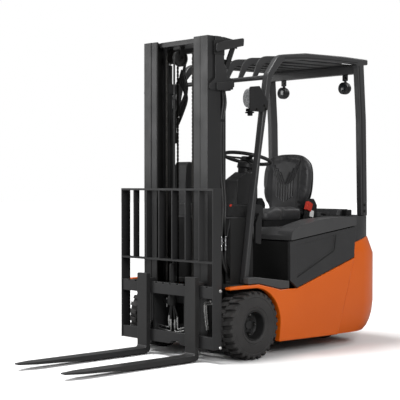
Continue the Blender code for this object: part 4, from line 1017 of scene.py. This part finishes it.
def seat_cushion():
    """Cushion with raised sides, a welted edge and two cross seams."""
    outline = rounded([(-0.228, 0.394, 0.060), (0.228, 0.394, 0.060), (0.228, 0.800, 0.03), (-0.228, 0.800, 0.03)],
        6)
    slab = prism("seat_cushion_finished", outline, 0.9065, 0.968, "z", 0.018, 3)
    pad = stuffed(slab, 0.006, 0.022, Vector((-0.234, 0.386, 0.9056)), Vector((0.234, 0.8085, 0.984)))
    for v in pad.data.vertices:
        x, y = abs(v.co.x), v.co.y
        above = rise(v.co.z, 0.945, 0.962)
        v.co.z += 0.016 * above * rise(x, 0.125, 0.185) * (1 - rise(x, 0.205, 0.236)) * rise(y, 0.42, 0.55)
        seam = min(abs(x - 0.150), abs(y - 0.505) if x < 0.150 else 1.0, abs(y - 0.640) if x < 0.150 else 1.0)
        v.co.z -= 0.005 * above * (1 - rise(seam, 0.001, 0.007))
    stand_in(painted(pad, VINYL), "seat_cushion")


def buckle(side):
    """Belt buckle on its stalk beside the cushion. Only the left one has a label behind it."""
    sign = SIDES[side]
    stalk = painted(prism("stalk", rounded([(0.770, 0.915, 0.006), (0.800, 0.915, 0.006), (0.806, 0.985, 0.004),
        (0.784, 0.990, 0.004)]), 0.274, 0.284, "x", 0.002), DARK)
    body = rounded([(0.762, 0.982, 0.006), (0.812, 0.962, 0.006), (0.834, 1.020, 0.008), (0.786, 1.044, 0.010)])
    latch = painted(prism("latch", body, 0.268, 0.298, "x", 0.005), RED)
    slit = painted(prism("slit", [(0.797, 1.0285), (0.822, 1.0155), (0.824, 1.0195), (0.799, 1.0325)], 0.272,
        0.290, "x"), CHASSIS)
    label = painted(prism("label", rounded([(0.820, 0.930, 0.004), (0.862, 0.922, 0.004), (0.868, 0.968, 0.004),
        (0.828, 0.978, 0.004)]), 0.2722, 0.2742, "x"), WHITE)
    parts = [stalk, latch, slit] + ([label] if sign > 0 else [])
    made = joined(f"belt_buckle_{side}", *parts)
    if sign < 0:
        bpy.data.objects.remove(label)
        mirrored(made)
    place(made, "hood")


# ================================================================ driver's controls
WHEEL_AT, WHEEL_TILT = Vector((0.150, 0.300, 1.345)), math.radians(-14)


def steering_wheel():
    """Ring with three tapered spokes, a broad hub and the knob on its rim."""
    rim = [(0.165 + 0.0128 * math.cos(a), 0.0128 * math.sin(a)) for a in (math.tau * i / 16 for i in range(16))]
    parts = [painted(turned("ring", rim, (0, 0, 0), "z", 72), DARK)]
    hub = [(0.0004, 0.0095), (0.030, 0.0095), (0.040, 0.006), (0.044, 0.000), (0.046, -0.022), (0.040, -0.029),
        (0.0004, -0.029)]
    parts.append(painted(turned("hub", hub, (0, 0, 0), "z", 40), DARK))
    for angle in (90, 210, 330):
        spoke = prism("spoke", [(0.030, -0.022), (0.100, -0.013), (0.160, -0.016), (0.160, 0.016), (0.100, 0.013),
            (0.030, 0.022)], -0.0075, 0.0015, "z", 0.003)
        parts.append(painted(moved(spoke, turn=Matrix.Rotation(math.radians(angle), 4, "Z")), DARK))
    wheel = joined("steering_wheel_finished", *parts)
    moved(wheel, WHEEL_AT, Matrix.Rotation(WHEEL_TILT, 4, "X"))
    stand_in(wheel, "steering_wheel")


def dash():
    """Shelf, steering column in its two-part housing, display pod and the cluster of small levers."""
    shelf = rounded([(0.050, 0.9404, 0.004), (0.190, 0.9404, 0.012), (0.180, 1.020, 0.022), (0.090, 1.030, 0.022)])
    parts = [painted(prism("shelf", shelf, -0.4195, 0.4195, "x", 0.006), DARK)]
    housing = rounded([(0.095, 0.985, 0.010), (0.185, 0.965, 0.020), (0.240, 1.010, 0.030), (0.322, 1.205, 0.020),
        (0.300, 1.243, 0.020), (0.240, 1.250, 0.020), (0.140, 1.190, 0.035)])
    column = prism("column", housing, 0.060, 0.240, "x")
    for v in column.data.vertices:
        v.co.x = 0.150 + (v.co.x - 0.150) * (1.04 - 0.34 * rise(v.co.z, 1.02, 1.25))
    parts.append(painted(softened(column, 0.014, 3), DARK))
    seam = [(0.108, 1.015), (0.262, 1.078), (0.260, 1.084), (0.106, 1.021)]
    parts.append(painted(prism("seam", seam, 0.0655, 0.2345, "x"), CHASSIS))
    collar = [(0.0004, -0.034), (0.050, -0.034), (0.058, -0.042), (0.060, -0.072), (0.050, -0.082),
        (0.044, -0.135), (0.0004, -0.135)]
    neck = painted(turned("neck", collar, (0, 0, 0), "z", 36), DARK)
    parts.append(moved(neck, WHEEL_AT, Matrix.Rotation(WHEEL_TILT, 4, "X")))
    stalk = painted(hose("stalk", [(0.19, 0.262, 1.262), (0.235, 0.255, 1.275), (0.262, 0.25, 1.272)], 0.0055,
        DARK), DARK)
    parts.append(stalk)
    parts.append(painted(turned("button", [(0.0004, 0.0), (0.010, 0.0), (0.0105, 0.007), (0.007, 0.010),
        (0.0004, 0.0105)], (0.205, 0.090, 1.015), (0.2, -0.9, 0.3), 20), RED))
    pod = rounded([(0.100, 1.00, 0), (0.180, 1.00, 0), (0.204, 1.322, 0.03), (0.122, 1.328, 0.03)])
    parts.append(painted(prism("pod", pod, -0.4140, -0.2760, "x", 0.012, 3), DARK))
    face = prism("face", rounded([(-0.402, 1.150, 0.008), (-0.288, 1.150, 0.008), (-0.288, 1.300, 0.008),
        (-0.402, 1.300, 0.008)]), 0.0, 0.004, "y")
    for v in face.data.vertices:
        v.co.y += 0.1800 + (v.co.z - 1.0) * 0.0745
    parts.append(painted(face, SCREEN))
    for i in range(3):
        x = -0.215 + 0.045 * i
        parts.append(painted(hose("lever", [(x, 0.135, 1.015), (x, 0.138, 1.055), (x, 0.146, 1.092)], 0.0045,
            DARK), DARK))
        parts.append(painted(turned("knob", [(0.0004, -0.016), (0.009, -0.014), (0.012, 0.004), (0.009, 0.014),
            (0.0004, 0.016)], (x, 0.149, 1.104), "z", 20), DARK))
    stand_in(joined("dash_console_finished", *parts), "dash_console")


def cowl_details():
    """Service cover with its two knobs, pale strips of painted highlight along its edges, the cowl's top edge and a
    slanting edge, grab handle and pedals.
    """
    parts = [
        painted(box("cover", (0.286, 0.392), (0.0385, 0.046), (0.605, 0.884), 0.004), DARK),
        # The strips along the cover's top and left edges, the slanting strip and the lip along the cowl's top are
        # painted highlights.
        painted(box("edge", (0.286, 0.345), (0.0375, 0.041), (0.874, 0.882), 0.001), PALE_DECK_AND_HIGHLIGHT),
        painted(box("edge", (0.2875, 0.2940), (0.0375, 0.041), (0.700, 0.874), 0.001), LID),
        painted(prism("trim", [(0.238, 0.925), (0.248, 0.925), (0.218, 0.790), (0.208, 0.790)], 0.0415, 0.0455,
            "y", 0.001), PALE_DECK_AND_HIGHLIGHT),
        painted(box("lip", (-0.410, 0.410), (0.040, 0.050), (0.929, 0.9398), 0.0015), PALE_DECK_AND_HIGHLIGHT),
    ]
    for x, z in ((0.311, 0.819), (0.302, 0.633)):
        knob = [(0.0004, 0.005), (0.008, 0.005), (0.009, 0.001), (0.014, 0.001), (0.016, -0.003), (0.0004, -0.003)]
        parts.append(painted(turned("knob", knob, (x, 0.0385, z), (0, -1, 0), 24), LID))
    place(joined("service_cover", *parts), "chassis")
    grip = [(0.128, 0.990, 0.01), (0.146, 0.915, 0.015), (0.138, 0.757, 0.01), (0.082, 0.770, 0.01),
        (0.086, 0.900, 0.01)]
    handle = painted(prism("grab_handle", rounded(grip), 0.424, 0.446, "x", 0.005), DARK)
    both_sides(handle, "grab_handle_{}", "chassis")
    for k, (x, w) in enumerate(((0.035, 0.045), (-0.120, 0.030))):
        plate = prism("plate", rounded([(x - w, 0.150, 0.01), (x + w, 0.150, 0.01), (x + w, 0.225, 0.01),
            (x - w, 0.225, 0.01)]), 0.0, 0.008, "z", 0.002)
        for v in plate.data.vertices:
            v.co.z += 0.530 + (0.225 - v.co.y) * 0.9
        rib = [painted(box("rib", (x - w + 0.006, x + w - 0.006), (-0.002, 0.002), (0.0, 0.0035), 0.001),
            MAT) for _ in range(4)]
        for i, r in enumerate(rib):
            moved(r, (0, 0.163 + 0.016 * i, 0.538 + (0.062 - 0.016 * i) * 0.9),
                Matrix.Rotation(math.radians(-42), 4, "X"))
        arm = painted(box("arm", (x - 0.006, x + 0.006), (0.080, 0.160), (0.590, 0.602), 0.002), CHASSIS)
        place(joined(f"pedal_{k}", painted(plate, MAT), arm, *rib), "chassis")


# ================================================================ guard and lamps
def work_light(side):
    """Lamp with a deep ribbed lens over a reflector, its bezel, arm, plate and cable."""
    node, sign = f"work_light_{side}", SIDES[side]

    def ring(scale, y, sides=40):
        return [(0.412 + 0.050 * scale * a, y, 1.740 + 0.068 * scale * b) for a, b in circle((0, 0), 1, sides)]

    def loft(name, rings):
        def fill(bm):
            rows = [[bm.verts.new(p) for p in row] for row in rings]
            for a, b in zip(rows, rows[1:]):
                for i in range(len(a)):
                    bm.faces.new((a[i - 1], a[i], b[i], b[i - 1]))
            bm.faces.new(rows[0])
            bm.faces.new(rows[-1])

        return shape(name, fill)

    lens = loft("lens", [ring(0.50, 0.0315), ring(0.78, 0.0345), ring(0.93, 0.042), ring(0.965, 0.064)])
    ribs = []
    places = ((0.385, 0.040, 0.0345), (0.394, 0.048, 0.032), (0.403, 0.050, 0.0308), (0.412, 0.052, 0.0306))
    places += ((0.421, 0.050, 0.0308), (0.430, 0.048, 0.032), (0.439, 0.040, 0.0345))
    for x, h, y in places:
        corners = [(x + i * 0.0022, 1.74 + j * h, 0) for i, j in ((-1, -1), (1, -1), (1, 1), (-1, 1))]
        ribs.append(prism("rib", rounded(corners), y, y + 0.004, "y", 0.001))
    parts = [painted(lens, LENS)] + [painted(r, LENS) for r in ribs]
    parts.append(painted(loft("reflector", [ring(0.90, 0.066), ring(0.90, 0.0665)]), REFLECTOR))
    parts.append(painted(loft("bezel", [ring(1.0, 0.062), ring(1.02, 0.066), ring(1.02, 0.074),
        ring(0.99, 0.076)]), DARK))
    parts.append(painted(loft("shell", [ring(0.99, 0.074), ring(0.97, 0.090), ring(0.86, 0.104),
        ring(0.60, 0.112)]), DARK))
    plate = rounded([(-0.004, 1.649, 0.006), (0.120, 1.647, 0.010), (0.166, 1.664, 0.010), (0.170, 1.722, 0.010),
        (0.088, 1.820, 0.012), (-0.004, 1.810, 0.012)])
    parts.append(painted(prism("plate", plate, 0.4703, 0.4785, "x", 0.0015), DARK))
    parts.append(painted(box("arm", (0.388, 0.474), (0.045, 0.080), (1.652, 1.672), 0.003), DARK))
    parts.append(painted(box("foot", (0.398, 0.426), (0.050, 0.076), (1.622, 1.654), 0.004), DARK))
    parts.append(painted(box("foot", (0.380, 0.436), (0.048, 0.080), (1.640, 1.650), 0.002), DARK))
    for y, z in ((0.062, 1.662), (0.135, 1.690), (0.150, 1.668)):
        parts.append(hex_bolt("bolt", (0.4783, y, z), (1, 0, 0), 0.013, LINKS))
    parts.append(painted(hose("cable", [(0.412, 0.108, 1.74), (0.420, 0.128, 1.715), (0.440, 0.138, 1.68),
        (0.445, 0.150, 1.655)], 0.0045, HOSE), HOSE))
    lamp = joined(node + "_finished", *parts)
    if sign < 0:
        mirrored(lamp)
    stand_in(lamp, node)


def rear_lamp(side):
    """Round black lamp on a neck, below its bracket."""
    node, x = f"rear_lamp_{side}", SIDES[side] * 0.310
    at = (x, 1.178, 1.876)
    ball = [(0.0004, 0.036), (0.018, 0.035), (0.034, 0.028), (0.043, 0.014), (0.0450, 0.004), (0.0450, -0.014),
        (0.043, -0.018)]
    ball += [(0.044, -0.020), (0.044, -0.030), (0.039, -0.033), (0.0004, -0.033)]
    parts = [painted(turned("ball", ball, at, "y", 40), DARK)]
    glass = [(0.0004, -0.0335), (0.034, -0.0335), (0.030, -0.0360), (0.0004, -0.0375)]
    parts.append(painted(turned("glass", glass, at, "y", 40), SCREEN))
    neck = [(0.013, 0.040), (0.013, 0.046), (0.009, 0.050), (0.009, 0.060), (0.0004, 0.060), (0.0004, 0.034),
        (0.013, 0.034)]
    parts.append(painted(turned("neck", neck, at, "z", 24), DARK))
    strap = prism("strap", rounded([(x - 0.024, 1.930, 0.006), (x + 0.024, 1.930, 0.006),
        (x + 0.024, 1.9745, 0.002), (x - 0.024, 1.9745, 0.002)]), 1.172, 1.180, "y", 0.001)
    parts.append(painted(strap, DARK))
    parts.append(hex_bolt("bolt", (x, 1.172, 1.952), (0, -1, 0), 0.014, LINKS))
    stand_in(joined(node + "_finished", *parts), node)


def guard_frame(side):
    """Front pillar, roof rail and rear pillar, bent from one tube, with thin dark strips of painted shade where its
    grooves run.
    """
    node = f"guard_{side}_frame"
    pillar = [(1.136, 2.030), (1.168, 1.636), (1.186, 0.932), (1.197, 0.932), (1.179, 1.636), (1.147, 2.030)]
    rail = [(0.345, 2.022), (0.566, 2.041), (0.811, 2.0475), (1.125, 2.0475), (1.125, 2.054), (0.811, 2.054),
        (0.566, 2.0475), (0.340, 2.029)]
    # Thin dark strips of painted shade where the grooves run.
    grooves = [painted(prism("groove", line, 0.4690, 0.4704, "x"), CHASSIS) for line in (pillar, rail)]
    if side == "right":
        grooves = [mirrored(groove) for groove in grooves]
    frame = painted(softened(merged_copy(node), 0.009, 3), GUARD)
    stand_in(joined(f"{node}_finished", frame, *grooves), node)


def guard_details():
    """Dark roof sheet under the bars and the bolts at the pillars' feet."""
    sheet = prism("roof_sheet", [(0.420, 2.026), (1.200, 2.036), (1.200, 2.041), (0.420, 2.031)], -0.4155, 0.4155,
        "x", 0.001)
    place(painted(sheet, CHASSIS), "chassis")
    for side, sign in SIDES.items():
        bolts = [hex_bolt("bolt", (sign * 0.470, y, z), (sign, 0, 0), 0.016, FORGED) for y,
            z in ((-0.024, 0.535), (1.210, 0.965), (1.210, 1.010))]
        place(joined(f"guard_{side}_bolts", *bolts), "chassis")


# ================================================================ body
def painted_recess_shade(side):
    """Dark strip of painted shade along the step round the low field of the battery panel."""
    band = [(0.818, 0.806), (0.801, 0.707), (0.790, 0.694), (0.412, 0.530), (0.412, 0.520), (0.795, 0.684),
        (0.811, 0.700), (0.828, 0.807)]
    # The strip is painted shade along the recess's step.
    strip = painted(prism(f"recess_rim_{side}", band, 0.5150, 0.5216, "x"), CHASSIS)
    if side == "right":
        mirrored(strip)
    place(strip, "chassis")


def deck():
    """Pale raised part of the deck behind the hood."""
    side = rounded([(1.128, 0.929, 0), (1.262, 0.929, 0), (1.262, 0.977, 0.012), (1.140, 0.977, 0.012)])
    hump = prism("deck_hump", side, -0.295, 0.271, "x", 0.006, 3)
    catch = painted(box("catch", (0.296, 0.345), (1.150, 1.215), (0.929, 0.974), 0.006), DARK)
    place(joined("rear_deck", painted(hump, PALE_DECK_AND_HIGHLIGHT), catch), "chassis")


# ================================================================ camera, light and floor
def camera_and_light():
    """The viewing angle of a long lens from the front left, in plain soft light."""
    turn, dip = math.radians(47.08), math.radians(0.865)
    camera = bpy.data.cameras.new("camera")
    camera.lens, camera.sensor_width = 100.3, 36.0
    camera.clip_start, camera.clip_end = 0.1, 200.0
    eye = bpy.data.objects.new("camera", camera)
    bpy.context.scene.collection.objects.link(eye)
    eye.location = (5.659, -5.274 + AXLE_Y, 1.171)
    ahead = Vector((-math.sin(turn) * math.cos(dip), math.cos(turn) * math.cos(dip), -math.sin(dip)))
    eye.rotation_mode = "QUATERNION"
    eye.rotation_quaternion = ahead.to_track_quat("-Z", "Y")
    bpy.context.scene.camera = eye
    bpy.context.scene.view_settings.view_transform = "Standard"
    studio_world()
    lamps = (
        ("key", (-4.8, -5.2, 2.6), (0, -0.3, 1.1), 2.6, 95),
        ("side", (6.5, -2.4, 3.6), (0, 0.4, 0.6), 2.6, 270),
        ("back", (1.5, 6.0, 5.0), (0, 0.3, 0.9), 3.0, 120),
    )
    for name, at, aim, size, power in lamps:
        light = bpy.data.lights.new(name, "AREA")
        light.size, light.energy = size, power
        aimed(bpy.data.objects.new(name, light), at, aim)
    sun = bpy.data.lights.new("sky", "SUN")
    sun.energy, sun.angle = 3.5, math.radians(24)
    aimed(bpy.data.objects.new("sky", sun), (-1.6, -1.8, 6.0), (0, 0, 0))


def aimed(lamp, at, aim):
    bpy.context.scene.collection.objects.link(lamp)
    lamp.location = at
    lamp.rotation_mode = "QUATERNION"
    lamp.rotation_quaternion = (Vector(aim) - Vector(at)).to_track_quat("-Z", "Y")


def studio_world():
    """White behind everything, and dimmer where it lights the truck."""
    world = bpy.data.worlds.new("studio")
    world.use_nodes = True
    nodes, links = world.node_tree.nodes, world.node_tree.links
    backdrop = nodes["Background"]
    backdrop.inputs["Color"].default_value = (1.0, 1.0, 1.0, 1)
    seen, strength = nodes.new("ShaderNodeLightPath"), nodes.new("ShaderNodeMapRange")
    strength.inputs["To Min"].default_value = 0.22
    strength.inputs["To Max"].default_value = 1.0
    links.new(seen.outputs["Is Camera Ray"], strength.inputs["Value"])
    links.new(strength.outputs["Result"], backdrop.inputs["Strength"])
    bpy.context.scene.world = world


def studio_floor():
    """A wide floor, as white as the backdrop to the eye, and darker where it lights the truck from below."""
    pale = Finish("pale_floor", (0.95, 0.95, 0.95), 0.9, Specular_IOR_Level=0.0)
    seen, shown = pale.nodes.new("ShaderNodeLightPath"), pale.nodes.new("ShaderNodeMapRange")
    shown.inputs["To Min"].default_value, shown.inputs["To Max"].default_value = 0.34, 0.97
    pale.links.new(seen.outputs["Is Camera Ray"], shown.inputs["Value"])
    pale.links.new(shown.outputs["Result"], pale.shader.inputs["Base Color"])
    floor = prism("studio_floor", circle((0, 0), 60.0, 64), -0.02, -0.0005, "z")
    painted(floor, pale.material)


# ================================================================ the whole truck
PLAIN = (  # node, rounding of its edges, finish
    ("drive_axle", 0.004, CHASSIS),
    ("chassis_frame", 0.0, CHASSIS),
    ("floor_plate", 0.003, MAT),
    ("counterweight", 0.010, ORANGE),
    ("left_side_panel", 0.007, ORANGE),
    ("right_side_panel", 0.007, ORANGE),
    ("rear_cover", 0.006, PLASTIC),
    ("left_battery_panel", 0.004, PLASTIC),
    ("right_battery_panel", 0.004, PLASTIC),
    ("left_sill", 0.006, LID),
    ("right_sill", 0.006, LID),
    ("battery", 0.003, CASE),
    ("front_cowl", 0.002, CHASSIS),
    ("hood", 0.010, LID),
    ("seat_base", 0.005, DARK),
    ("steer_unit", 0.003, CHASSIS),
    ("roof_grille", 0.0025, GUARD),
    ("outer_top_beam", 0.006, CHARCOAL),
    ("outer_mid_beam", 0.002, CHARCOAL),
    ("outer_bottom_beam", 0.003, CHARCOAL),
    ("inner_bottom_beam", 0.002, CHARCOAL),
    ("lift_barrel_left", 0.002, CHASSIS),
    ("lift_barrel_right", 0.002, CHASSIS),
    ("lift_rod_left", 0.001, CHROME),
    ("lift_rod_right", 0.001, CHROME),
    ("fork_left", 0.003, FORGED),
    ("fork_right", 0.003, FORGED),
    ("backrest_grille", 0.0012, CHARCOAL),
    ("tilt_barrel_left", 0.002, CHARCOAL),
    ("tilt_barrel_right", 0.002, CHARCOAL),
    ("tilt_rod_left", 0.001, CHROME),
    ("tilt_rod_right", 0.001, CHROME),
)

camera_and_light()
studio_floor()
for side, sign in SIDES.items():
    front_tyre(side, sign)
    front_rim(side, sign)
    rear_wheel(side, sign)
for side in SIDES:
    outer_channel(side)
    inner_channel(side)
    guard_frame(side)
    painted_recess_shade(side)
    lift_chain(side)
crosshead()
pulley_hoses()
mast_side_hoses()
carriage()
carriage_hoses()
backrest_plates()
seat_back()
seat_cushion()
steering_wheel()
dash()
cowl_details()
guard_details()
deck()
for side in SIDES:
    buckle(side)
    work_light(side)
    rear_lamp(side)
for node, edge, material in PLAIN:
    finished(node, edge, material)
